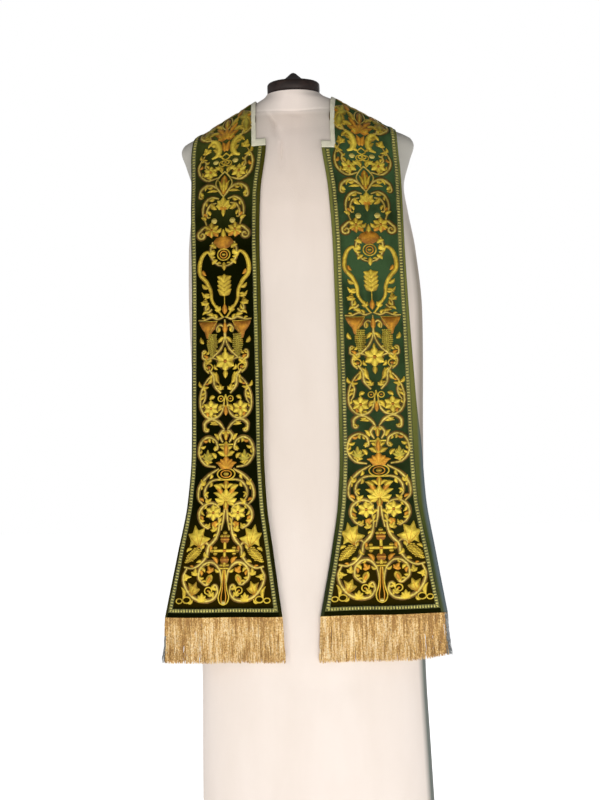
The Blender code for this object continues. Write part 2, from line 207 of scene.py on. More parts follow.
def laid(x, along):
    """The point of that shape at x across and along the cut, for arrays of both."""
    turn = np.maximum(along, 0) / WRAP_RADIUS
    drop = np.minimum(along, 0)
    near, far = np.zeros_like(x), np.full_like(x, FARTHEST)
    for _ in range(HALVINGS):
        middle = (near + far) / 2
        out = outside(x, WRAP_Y - middle * np.cos(turn), WRAP_HEIGHT + drop + middle * np.sin(turn)) > 0
        near, far = np.where(out, near, middle), np.where(out, middle, far)
    return np.stack([x, WRAP_Y - near * np.cos(turn), WRAP_HEIGHT + drop + near * np.sin(turn)], -1)


MIDDLE_X = (SECTIONS["neck_x"] + SECTIONS["outer_x"]) / 2
MIDDLE_ALONG = (SECTIONS["neck_along"] + SECTIONS["outer_along"]) / 2
STATIONS = np.concatenate([[0], np.cumsum(np.hypot(np.diff(MIDDLE_X), np.diff(MIDDLE_ALONG)))])
HEM_STATION = STATIONS[-1]
NOTCH_STATIONS = {side: STATIONS[NOTCH_SECTION] - NOTCH_RISE[side] for side in (1, -1)}
HUNG_EDGES = {
    side: (SECTIONS["neck_x"] + HANG[word + "_neck"], SECTIONS["outer_x"] + HANG[word + "_outer"])
    for side, word in ((1, "left"), (-1, "right"))
}
MARGINS = {1: HANG["left_margin"], -1: HANG["right_margin"]}


def band_width(station):
    across = smooth(station, STATIONS, SECTIONS["outer_x"] - SECTIONS["neck_x"])
    rise = smooth(station, STATIONS, SECTIONS["outer_along"] - SECTIONS["neck_along"])
    return np.hypot(across, rise)


def former_point(side, station, from_neck):
    """Where the cloth lies for a station along the half and metres out from the neck line."""
    share = from_neck / band_width(station)
    x, along = (
        (1 - share) * smooth(station, STATIONS, neck) + share * smooth(station, STATIONS, outer)
        for neck, outer in (HUNG_EDGES[side], (SECTIONS["neck_along"], SECTIONS["outer_along"]))
    )
    point = laid(x, along)
    fall = np.maximum((HEM_WAVE_START - along) / HEM_WAVE_FALL, 0)
    point[..., 1] -= HEM_WAVE * fall**2 * np.sin(HEM_WAVE_TURN * x + side)
    point[..., 0] *= side
    return point


def braid_edge(side, station):
    return band_width(station) - smooth(station, STATIONS, MARGINS[side])


def unit(vectors):
    return vectors / np.linalg.norm(vectors, axis=-1, keepdims=True)


def left_of(ways):
    return np.stack([-ways[..., 1], ways[..., 0]], -1)


def lengths(line):
    """How far along the line each of its points is."""
    return np.concatenate([[0], np.cumsum(np.linalg.norm(np.diff(line, axis=0), axis=1))])


def beside_line(places, first, last):
    """How far each place is along the line from first to last, as a share, and how far to its left."""
    way = np.subtract(last, first)
    length = np.hypot(*way)
    offset = places - np.array(first)
    return offset @ (way / length) / length, offset @ left_of(way / length)


def spaced(first, last, gap):
    return np.linspace(first, last, 1 + max(1, round((last - first) / gap)))


def placed(name, data):
    obj = bpy.data.objects.new(name, data)
    bpy.context.scene.collection.objects.link(obj)
    return obj


def mesh_object(name, points, faces, materials, uvs=None, tones=None):
    """A smooth-shaded mesh that rides on the root body, with a UV for each vertex."""
    mesh = bpy.data.meshes.new(name)
    mesh.from_pydata(np.reshape(points, (-1, 3)).tolist(), [], [list(map(int, face)) for face in faces])
    for finish in materials:
        mesh.materials.append(finish)
    if uvs is not None:
        corners = np.zeros(len(mesh.loops), dtype=np.int32)
        mesh.loops.foreach_get("vertex_index", corners)
        layer = mesh.uv_layers.new(name="cloth")
        layer.data.foreach_set("uv", np.reshape(uvs, (-1, 2))[corners].astype(np.float32).ravel())
    if tones is not None:
        mesh.polygons.foreach_set("material_index", np.asarray(tones, dtype=np.int32))
    mesh.shade_smooth()
    obj = placed(name, mesh)
    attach(obj, "root")
    return obj


def grid_faces(rows, columns, flipped=False, kept=None):
    """The quads of a grid of points, row after row."""
    row, column = np.meshgrid(np.arange(rows - 1), np.arange(columns - 1), indexing="ij")
    if kept is not None:
        chosen = kept(row, column)
        row, column = row[chosen], column[chosen]
    near = (row * columns + column).ravel()
    quads = np.stack([near, near + columns, near + columns + 1, near + 1], -1)
    return quads[:, ::-1] if flipped else quads


def tube_faces(rings, sides, start=0, flipped=False):
    """The quads between closed rings of points, ring after ring."""
    k = np.arange(sides)
    after = (k + 1) % sides
    near = start + sides * np.arange(rings - 1)[:, None]
    quads = np.stack([near + k, near + sides + k, near + sides + after, near + after], -1).reshape(-1, 4)
    return quads[:, [0, 3, 2, 1]] if flipped else quads


# ---------------------------------------------------------------- the cloth

ROW_GAP = 0.004
TAB_CELLS = 6
BAND_CELLS = 38

# Creases, as lines on the cut from one (station, metres from the neck line) to another, with
# how far their sides reach and how far their middle stands proud, or lies low below 0.
CREASES = (
    (0.02, 0.05, 0.15, 0.10, 0.014, 0.0022),
    (0.01, 0.10, 0.10, 0.14, 0.012, 0.0018),
    (0.10, 0.02, 0.20, 0.05, 0.011, 0.0016),
    (0.22, 0.075, 0.33, 0.035, 0.012, 0.0014),
    (0.30, 0.085, 0.52, 0.070, 0.016, 0.0012),
    (0.46, 0.015, 0.74, 0.030, 0.015, -0.0009),
    (0.60, 0.080, 0.90, 0.066, 0.018, 0.0016),
    (0.84, 0.010, 1.19, 0.000, 0.018, 0.0018),
    (0.92, 0.095, 1.19, 0.130, 0.020, 0.0022),
    (0.98, 0.050, 1.19, 0.065, 0.018, -0.0012),
)
CREASE_SHIFT = 0.006         # the most that a crease lies apart on the two halves, each way
CREASE_BOW = 0.008
CREASE_UNEVEN = 0.3


def crease_height(side, station, from_neck):
    """How far the creases move the cloth out at each place. The two halves differ a little."""
    rise = np.zeros_like(station)
    for number, (s0, n0, s1, n1, reach, height) in enumerate(CREASES):
        shift = CREASE_SHIFT * math.sin(2.1 * number + side)
        travel, apart = beside_line(np.stack([station, from_neck - shift], -1), (s0, n0), (s1, n1))
        apart = apart - CREASE_BOW * np.sin(travel * 3.1 + number)
        ends = np.clip(travel, 0, 1)
        fade = np.sin(np.pi * ends) ** 0.7 if s1 < HEM_STATION - 0.01 else np.sin(np.pi / 2 * ends)
        length = np.hypot(s1 - s0, n1 - n0)
        uneven = 1 + CREASE_UNEVEN * np.sin(60 * travel * length + number + side)
        rise += height * fade * uneven * np.exp(-((apart / reach) ** 2))
    return rise


class Panel:
    """One half of the stole: points and normals of its outer face, read anywhere between."""

    def __init__(self, side):
        self.side = side
        notch = NOTCH_STATIONS[side]
        self.rows = np.concatenate([
            spaced(SEAM_GAP, notch, ROW_GAP), spaced(notch, HEM_STATION, ROW_GAP)[1:]])
        self.notch_row = int(np.argmin(np.abs(self.rows - notch)))
        width = band_width(self.rows)
        tab = np.linspace(-NOTCH_WIDTH, 0, TAB_CELLS + 1)[:-1]
        self.from_neck = np.concatenate([
            np.broadcast_to(tab, (len(self.rows), TAB_CELLS)),
            width[:, None] * np.linspace(0, 1, BAND_CELLS + 1)], axis=1)
        station = np.broadcast_to(self.rows[:, None], self.from_neck.shape)
        step = 0.002
        down = (former_point(side, station + step, self.from_neck)
                - former_point(side, station - step, self.from_neck))
        out = (former_point(side, station, self.from_neck + step)
               - former_point(side, station, self.from_neck - step))
        flat_normal = unit(side * np.cross(down, out))
        lift = CLOTH_CLEARANCE + crease_height(side, station, self.from_neck)
        self.inner = former_point(side, station, self.from_neck) + lift[..., None] * flat_normal
        rows_way, columns_way = np.gradient(self.inner, axis=(0, 1))
        self.normals = unit(side * np.cross(rows_way, columns_way))

    def at(self, station, from_neck, lift):
        """The point that is lift above the outer face."""
        station, from_neck, lift = np.broadcast_arrays(station, from_neck, lift)
        row = np.interp(station, self.rows, np.arange(len(self.rows)))
        column = np.where(
            from_neck < 0,
            (from_neck + NOTCH_WIDTH) / NOTCH_WIDTH * TAB_CELLS,
            TAB_CELLS + from_neck / band_width(station) * BAND_CELLS)
        i = np.clip(row.astype(int), 0, len(self.rows) - 2)
        j = np.clip(np.floor(column).astype(int), 0, TAB_CELLS + BAND_CELLS - 1)
        u, v = (row - i)[..., None], (column - j)[..., None]

        def between(values):
            return ((1 - u) * (1 - v) * values[i, j] + u * (1 - v) * values[i + 1, j]
                    + (1 - u) * v * values[i, j + 1] + u * v * values[i + 1, j + 1])

        return between(self.inner) + (CLOTH_THICKNESS + lift)[..., None] * between(self.normals)

    def strip(self, name, lines, materials):
        """A mesh from lines of (station, from_neck, lift), one a column, with a UV along and across."""
        lines = np.asarray(lines, float)
        points = self.at(lines[..., 0], lines[..., 1], lines[..., 2])
        along = lengths(points[len(points) // 2])
        across = np.linspace(0, 1, len(lines))
        uvs = np.stack(np.broadcast_arrays(along[None, :] * 100, across[:, None]), -1)
        faces = grid_faces(*points.shape[:2], flipped=self.side < 0)
        return mesh_object(name, points, faces, materials, uvs)


def make_cloth(panel, word, velvet):
    """The velvet as a thin closed shell."""
    rows, columns = panel.from_neck.shape
    kept = lambda row, column: (row >= panel.notch_row) | (column >= TAB_CELLS)
    faces = grid_faces(rows, columns, flipped=panel.side < 0, kept=kept)
    used = np.unique(faces)
    fresh = np.zeros(rows * columns, dtype=int)
    fresh[used] = np.arange(len(used))
    past_braid = np.maximum(panel.from_neck - braid_edge(panel.side, panel.rows)[:, None],
                            INNER_INSET - NOTCH_WIDTH - panel.from_neck)
    uvs = np.stack([np.broadcast_to(panel.rows[:, None], past_braid.shape), past_braid * 100], -1)
    cloth = mesh_object(f"velvet_{word}", panel.inner.reshape(-1, 3)[used], fresh[faces], [velvet],
                        uvs.reshape(-1, 2)[used])
    solid = cloth.modifiers.new("Solidify", "SOLIDIFY")
    solid.thickness = CLOTH_THICKNESS
    solid.offset = 1
    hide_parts(f"stole_{word}")
    return cloth


# ---------------------------------------------------------------- materials

# Colours are linear. Each half's velvet: the nap's dark and its green, where the green is painted sheen for
# light that the pile catches, how green it gets, the height where the painted green starts and the rise over
# which it comes in, the tones of the margins at MARGIN_HEIGHTS, painted lighter as sheen where the edge
# turns, and how many centimetres wider the painted slate shade of the rim is low down
VELVETS = {
    1: ("velvet_left", (0.0065, 0.0060, 0.0004), (0.042, 0.083, 0.032), 1.08, 0.66, 0.50,
        ((0.085, 0.095, 0.042), (0.040, 0.055, 0.012), (0.155, 0.160, 0.040)), 0.5),
    -1: ("velvet_right", (0.0028, 0.0034, 0.0003), (0.068, 0.083, 0.018), 0.9, 1.27, 0.24,
         ((0.060, 0.055, 0.014), (0.022, 0.021, 0.002), (0.058, 0.054, 0.007)), 0.0),
}
# Heights of the margins' tones, which are painted sheen where the edge turns
MARGIN_HEIGHTS = (0.50, 0.70, 1.00)
BACK_NAP = ((0.010, 0.014, 0.004), (0.048, 0.072, 0.022))
# Painted shade: a grey-blue slate for the widest margin where it turns under in shadow
TURNED_EDGE_SHADE = (0.110, 0.140, 0.150, 1)       # of the widest margin where it turns under
HEM_BROWN = (0.014, 0.0068, 0.0)       # added to the velvet among the hem's embroidery
BLACK = (0, 0, 0)

# Threads: the tone between stitches and on them, in the order of the embroidery's tone numbers
THREADS = (
    ("thread_yellow", (0.20, 0.115, 0.004), (0.78, 0.56, 0.050)),
    ("thread_orange", (0.22, 0.080, 0.003), (0.72, 0.33, 0.022)),
    ("thread_pale", (0.45, 0.35, 0.07), (0.92, 0.76, 0.24)),
    ("thread_olive", (0.16, 0.11, 0.006), (0.52, 0.42, 0.045)),
    ("thread_bright", (0.34, 0.23, 0.012), (0.90, 0.68, 0.075)),
    ("thread_scroll", (0.18, 0.120, 0.012), (0.76, 0.58, 0.115)),
    ("thread_shade", (0.06, 0.032, 0.002), (0.30, 0.150, 0.013)),
)

# Cords: three tones, metallic, roughness, turns in 10 mm, slant and how much painted shade darkens them under
# the hem and towards the stole's outer edges
CORDS = {
    "braid_strip": (((0.030, 0.034, 0.006), (0.10, 0.10, 0.02), (0.17, 0.165, 0.034)), 0.2, 0.55, 5, 2, 0),
    "fringe_strand": (((0.42, 0.22, 0.055), (0.77, 0.48, 0.14), (0.97, 0.79, 0.48)), 0.25, 0.34, 9, 1, 0.26),
    # Painted shade: slate strands where the fringe's outer edge is in shadow
    "fringe_shaded": (((0.10, 0.11, 0.10), (0.20, 0.21, 0.21), (0.34, 0.35, 0.35)), 0.1, 0.5, 9, 1, 0),
    "fringe_heading": (((0.36, 0.16, 0.025), (0.60, 0.33, 0.07), (0.90, 0.62, 0.22)), 0.35, 0.36, 3, 3, 0),
}

# The cover's tone up the form, mostly painted light and shade: lightest at the foot and darker up the chest
# as the light falls off, with painted shade just below the collar's seam, and the collar band lighter cloth:
# height and share of its lightest colour
COVER_LIGHT_AND_SHADE = (
    (0.42, (0.950, 0.960, 0.970)),
    (0.80, (0.880, 0.880, 0.870)),
    (1.20, (0.840, 0.840, 0.830)),
    (1.39, (0.930, 0.910, 0.890)),
    (1.48, (0.900, 0.880, 0.870)),
    (1.525, (0.820, 0.780, 0.750)),
    (1.535, (1.000, 0.990, 0.990)),
)
COVER_TOP = 1.6              # height where the ramp of tones ends


def node(tree, kind, inputs=None, **settings):
    made = tree.nodes.new("ShaderNode" + kind)
    for name, value in settings.items():
        setattr(made, name, value)
    for key, value in (inputs or {}).items():
        if isinstance(value, bpy.types.NodeSocket):
            tree.links.new(value, made.inputs[key])
        else:
            made.inputs[key].default_value = value
    return made


class Finish:
    """A material in the making, with its plain values set on the shader. x, y and z are the place
    on the object, and u and v the mesh's own UV."""

    def __init__(self, name, roughness, **sockets):
        self.material = bpy.data.materials.new(name)
        self.material.use_nodes = True
        self.tree = self.material.node_tree
        self.shader = self.tree.nodes["Principled BSDF"]
        for key, value in {"Roughness": roughness, **sockets}.items():
            self.shader.inputs[key.replace("_", " ")].default_value = value
        places = self.node("TexCoord").outputs
        self.place = places["Object"]
        self.x, self.y, self.z = self.node("SeparateXYZ", {0: self.place}).outputs
        self.u, self.v, _ = self.node("SeparateXYZ", {0: places["UV"]}).outputs

    def node(self, kind, inputs=None, **settings):
        return node(self.tree, kind, inputs, **settings)

    def maths(self, operation, first, second=0.5, third=0.0):
        return self.node("Math", {0: first, 1: second, 2: third}, operation=operation).outputs[0]

    def times(self, first, second, plus=None):
        if plus is None:
            return self.maths("MULTIPLY", first, second)
        return self.maths("MULTIPLY_ADD", first, second, plus)

    def size(self, value):
        return self.maths("ABSOLUTE", value)

    def share(self, value, start, end, most=1.0):
        """How far the value has come from start to end, from 0 up to most."""
        return self.node("MapRange", {"Value": value, "From Min": start, "From Max": end,
                                      "To Max": most}).outputs[0]

    def noise(self, scale, detail, rough=0.5):
        """Noise of one scale, or of one for each axis."""
        place = self.place
        if isinstance(scale, tuple):
            place, scale = self.node("Mapping", {"Vector": place, "Scale": scale}).outputs[0], 1
        return self.node("TexNoise", {"Vector": place, "Scale": scale, "Detail": detail,
                                      "Roughness": rough}).outputs["Fac"]

    def ramp(self, factor, *stops):
        made = self.node("ValToRGB", {"Fac": factor})
        elements = made.color_ramp.elements
        while len(elements) < len(stops):
            elements.new(0.5)
        for element, (place, colour) in zip(elements, stops):
            element.position = place
            element.color = (*colour, 1)
        return made.outputs["Color"]

    def mixed(self, factor, first, second, blend="MIX"):
        made = self.node("Mix", {0: factor, 6: first, 7: second}, data_type="RGBA", blend_type=blend)
        return made.outputs[2]

    def done(self, colour, height=None, strength=0.0, distance=0.0):
        """The material, with its colour and the bumps of its face linked."""
        self.tree.links.new(colour, self.shader.inputs["Base Color"])
        if height is not None:
            bump = self.node("Bump", {"Height": height, "Strength": strength, "Distance": distance})
            self.tree.links.new(bump.outputs["Normal"], self.shader.inputs["Normal"])
        return self.material


def velvet_finish(name, dark, green, full, sheen_starts, sheen_rise, margins, shade_rim_low):
    """Cut pile. Its nap is near black, with green painted in as sheen above the height where it fades in, for
    the light that the pile catches there, and it is browner among the hem's embroidery. The margins outside
    the braid are painted lighter as sheen where the edge turns, and the widest one gets a painted grey-blue
    shade where it turns under. The mesh's UV are the station, and the centimetres past the braid's outer
    edge."""
    made = Finish(name, 0.85, Sheen_Weight=0.06, Sheen_Roughness=0.35, Sheen_Tint=(0.50, 0.62, 0.06, 1),
                  Specular_IOR_Level=0.0)
    # Painted sheen: the nap turns green above this height, for light that the pile catches there
    sheen_share = made.share(made.z, sheen_starts, sheen_starts + sheen_rise)
    shaded = made.times(made.noise(13, 3, 0.6), 1.3, -0.35)
    shaded = made.times(made.noise((60, 60, 7), 2), 0.5, shaded)
    shown = made.times(shaded, made.times(sheen_share, full, 0.03))
    in_front = made.ramp(shown, (0.0, dark), (0.75, green))
    at_back = made.ramp(shaded, *zip((0.0, 0.9), BACK_NAP))
    colour = made.mixed(made.share(made.y, 0.0, 0.09), in_front, at_back)
    above_hem = made.maths("SUBTRACT", HEM_STATION, made.u)
    browned = made.ramp(above_hem, (0.016, BLACK), (0.024, HEM_BROWN), (0.120, HEM_BROWN), (0.200, BLACK))
    colour = made.mixed(made.share(made.v, 0.0, -0.3), colour, browned, "ADD")
    # Painted shade: the slate rim of the widest margin reaches wider low down
    past_low = made.times(made.share(made.z, 0.95, 0.65), shade_rim_low, made.v)
    near_middle = made.times(made.share(made.size(made.x), 0.16, 0.13), made.share(made.z, 1.00, 0.65))
    # Painted sheen: the margins outside the braid are mixed lighter, less so low down near the middle
    margin_sheen = made.ramp(made.z, *zip(MARGIN_HEIGHTS, margins))
    for tone, past, start, end in ((margin_sheen, made.v, 0.0, 0.12), (TURNED_EDGE_SHADE, past_low, 0.85, 1.45)):
        share = made.times(made.share(past, start, end), made.times(near_middle, -0.65, 1.0))
        colour = made.mixed(share, colour, tone)
    return made.done(colour, made.noise(1500, 1), 0.4, 0.0006)


def thread_finish(name, deep, bright, metallic=0.35, roughness=0.38):
    """Satin stitches: fine threads lie across each row, with a soft change of tone along it. Each row is
    painted darker towards its edges and lighter down its middle, as painted shade and highlight on its dome,
    and the threads are painted darker higher up the stole as painted shade.
    """
    made = Finish(name, roughness, Metallic=metallic, Specular_IOR_Level=0.3)
    threads = made.maths("PINGPONG", made.times(made.u, 2.2), 0.5)
    tone = made.times(threads, 0.35, made.times(made.noise(170, 2, 0.6), 0.8))
    tone = made.times(made.noise(42, 2, 0.5), 0.9, made.maths("ADD", tone, -0.06))
    # Painted shade and highlight: darker towards the row's edges, lighter down its middle
    tone = made.times(made.size(made.v), -0.60, tone)
    # Painted shade: darker higher up the stole, for the light falling off upward
    tone = made.times(made.share(made.z, 0.55, 1.0), -0.19, tone)
    return made.done(made.ramp(tone, (0.12, deep), (0.85, bright)), threads, 0.5, 0.0003)


def cord_finish(name, tones, metallic, roughness, turns, slant, hem_and_edge_shade):
    """Twisted yarn: slanting ridges that run round the strand, in hanks of unlike tones. It can be darkened
    with painted shade towards the hem and towards the stole's outer edges."""
    made = Finish(name, roughness, Metallic=metallic, Sheen_Weight=0.15)
    ridge = made.maths("PINGPONG", made.times(made.v, slant, made.times(made.u, turns)), 0.5)
    tone = made.times(ridge, 0.5, made.times(made.noise(360, 2, 0.7), 2.3, -2.2))
    for scale in ((300, 300, 26), (95, 95, 16)):
        tone = made.times(made.noise(scale, 1), 1.45, tone)
    # Painted shade: darker up at the roots under the hem and out towards the stole's outer edges
    for reading, start, end in ((made.z, 0.556, 0.578), (made.size(made.x), 0.17, 0.27)):
        tone = made.times(made.share(reading, start, end), -hem_and_edge_shade, tone)
    return made.done(made.ramp(tone, *zip((0.15, 0.5, 0.95), tones)), ridge, 0.6, 0.0004)


def jersey_finish():
    """The form's cover: a fine knit, with painted light and shade: lighter at the foot, darker up the chest,
    a painted grey shade by the neck and at the shoulder ends, and a dark painted shade down one side where
    the form turns from the light. The collar is lighter cloth."""
    made = Finish("jersey_cover", 0.9, Sheen_Weight=0.12, Specular_IOR_Level=0.2)
    share, mixed = made.share, made.mixed
    patches = made.noise((9, 9, 3), 4, 0.55)
    cover = made.ramp(patches, (0.3, (0.886, 0.773, 0.684)), (0.7, (0.952, 0.842, 0.762)))
    # Painted light and shade: the cover is lighter low down and darker higher up, as the light falls off
    up = made.maths("DIVIDE", made.z, COVER_TOP)
    tones = made.ramp(up, *((height / COVER_TOP, tone) for height, tone in COVER_LIGHT_AND_SHADE))
    cover = mixed(1.0, cover, tones, "MULTIPLY")
    # Painted shade: the cover is mixed towards grey beside the neck and at the shoulder ends
    shoulder_shade = made.times(share(made.size(made.x), 0.13, 0.205), share(made.z, 1.15, 1.46))
    from_middle = made.size(made.maths("ADD", made.x, 0.008))
    painted_shade = made.times(share(from_middle, 0.015, 0.075, 0.63), share(made.z, 1.36, 1.52), shoulder_shade)
    cover = mixed(painted_shade, cover, (0.43, 0.41, 0.36, 1))
    # Painted shade: a dark strip down the form's +X side below the chest, darkest low down
    side_shade = mixed(share(made.z, 0.55, 0.95), (0.13, 0.15, 0.13, 1), (0.33, 0.28, 0.22, 1))
    flare_and_side_shade = made.times(share(made.size(made.y), 0.056, 0.036), share(made.x, 0.10, 0.12))
    flare_and_side_shade = made.times(flare_and_side_shade, share(made.z, 1.36, 1.24))
    rib = made.node("Mapping", {"Vector": made.place, "Scale": (1, 1, 0.55)}).outputs[0]
    loops = made.node("TexVoronoi", {"Vector": rib, "Scale": 900}, feature="F1").outputs["Distance"]
    knit = made.times(made.noise((300, 300, 20), 2), 0.6, loops)
    return made.done(mixed(flare_and_side_shade, cover, side_shade), knit, 0.25, 0.0005)


def tape_finish():
    """Cream bias binding: a fine plain weave."""
    made = Finish("cream_tape", 0.75, Sheen_Weight=0.2, Specular_IOR_Level=0.3)
    warp, weft = (made.maths("PINGPONG", made.times(way, count), 0.5)
                  for way, count in ((made.u, 12), (made.v, 9)))
    weave = made.maths("ADD", warp, weft)
    tone = made.times(made.noise(90, 3), 0.8, made.times(weave, 0.3))
    colour = made.ramp(tone, (0.3, (0.60, 0.575, 0.42)), (0.8, (0.78, 0.75, 0.58)))
    return made.done(colour, weave, 0.4, 0.0003)


def wood_finish():
    """Dark stained wood, satin varnished, with a fine grain along X."""
    made = Finish("dark_wood", 0.5, Specular_IOR_Level=0.3, Coat_Weight=0.04, Coat_Roughness=0.35)
    grain = made.noise((25, 160, 160), 4, 0.6)
    colour = made.ramp(grain, (0.35, (0.010, 0.0045, 0.003)), (0.7, (0.028, 0.014, 0.010)))
    return made.done(colour, grain, 0.15, 0.0003)


def metal_finish(name, colour, roughness):
    """Painted steel, with a faint orange peel and rubbed patches."""
    made = Finish(name, roughness, Metallic=0.6)
    patches = made.noise(30, 4, 0.6)
    worn = made.node("MapRange", {"Value": patches, "To Min": roughness - 0.1, "To Max": roughness + 0.15})
    made.tree.links.new(worn.outputs[0], made.shader.inputs["Roughness"])
    lighter = tuple(c * 1.7 + 0.004 for c in colour)
    return made.done(made.ramp(patches, (0.35, colour), (0.75, lighter)), made.noise(700, 1), 0.08, 0.0003)


# ---------------------------------------------------------------- embroidery

SATIN_SECTION = ((-1, -0.1), (-0.72, 0.62), (0, 1), (0.72, 0.62), (1, -0.1))
YELLOW, ORANGE, PALE, GREEN_GOLD, BRIGHT, SCROLL, SHADE = range(len(THREADS))
LAYERS = 8                   # so many pieces, one after another, lie one LAYER_STEP higher each
LAYER_STEP = 0.03
LINE_STEPS = 9
CURL_CLOSING = 0.75
DOT_SHOULDER = 0.6           # of the radius where a dot's top rounds off
BLADE_RINGS = (0.35, 0.75, 1.0)
BLADE_RISES = (1, 0.97, 0.72)
EDGE_DEPTH = -0.1
LEAF_SIZES = (10.5, 8.0)     # of the small leaves on a stem, in turn
LEAF_FULL = 1.38             # times its width, and likewise a stem and the dark ground under it
STEM_FULL = 1.55
GROUND_FULL = 2.9


def through(*points):
    """A smooth line through the points."""
    points = np.asarray(points, float)
    padded = np.concatenate([[2 * points[0] - points[1]], points, [2 * points[-1] - points[-2]]])
    line = [points[:1]]
    t = np.linspace(0, 1, LINE_STEPS + 1)[1:, None]
    for before, first, last, after in zip(padded, padded[1:], padded[2:], padded[3:]):
        line.append(0.5 * (2 * first + (last - before) * t
                           + (2 * before - 5 * first + 4 * last - after) * t**2
                           + (3 * first - before - 3 * last + after) * t**3))
    return np.concatenate(line)


def curled(line, turn, radius, turns):
    """The line carried on into a curl that closes in, anticlockwise where turn is 1."""
    heading = math.atan2(*(line[-1] - line[-2])[::-1])
    place = line[-1]
    count = max(8, round(22 * turns))
    swing = turn * 2 * math.pi * turns / count
    added = []
    for k in range(count):
        reach = radius * (1 - CURL_CLOSING * (k + 0.5) / count)
        middle = heading + swing / 2
        place = place + reach * abs(swing) * np.array([math.cos(middle), math.sin(middle)])
        heading += swing
        added.append(place)
    return np.concatenate([line, added])


def swell(count, width, start, end, peak=0.4):
    """Widths along a line: thin at its ends, full at peak."""
    t = np.linspace(0, 1, count)
    rising = start + (1 - start) * np.sin(np.pi / 2 * np.clip(t / peak, 0, 1))
    falling = end + (1 - end) * np.sin(np.pi / 2 * np.clip((1 - t) / (1 - peak), 0, 1))
    return width * np.minimum(rising, falling)


def circle(sides):
    turn = np.linspace(0, 2 * math.pi, sides, endpoint=False)
    return np.stack([np.cos(turn), np.sin(turn)], -1)


def towards(degrees):
    turn = math.radians(degrees)
    return np.array([math.cos(turn), math.sin(turn)])


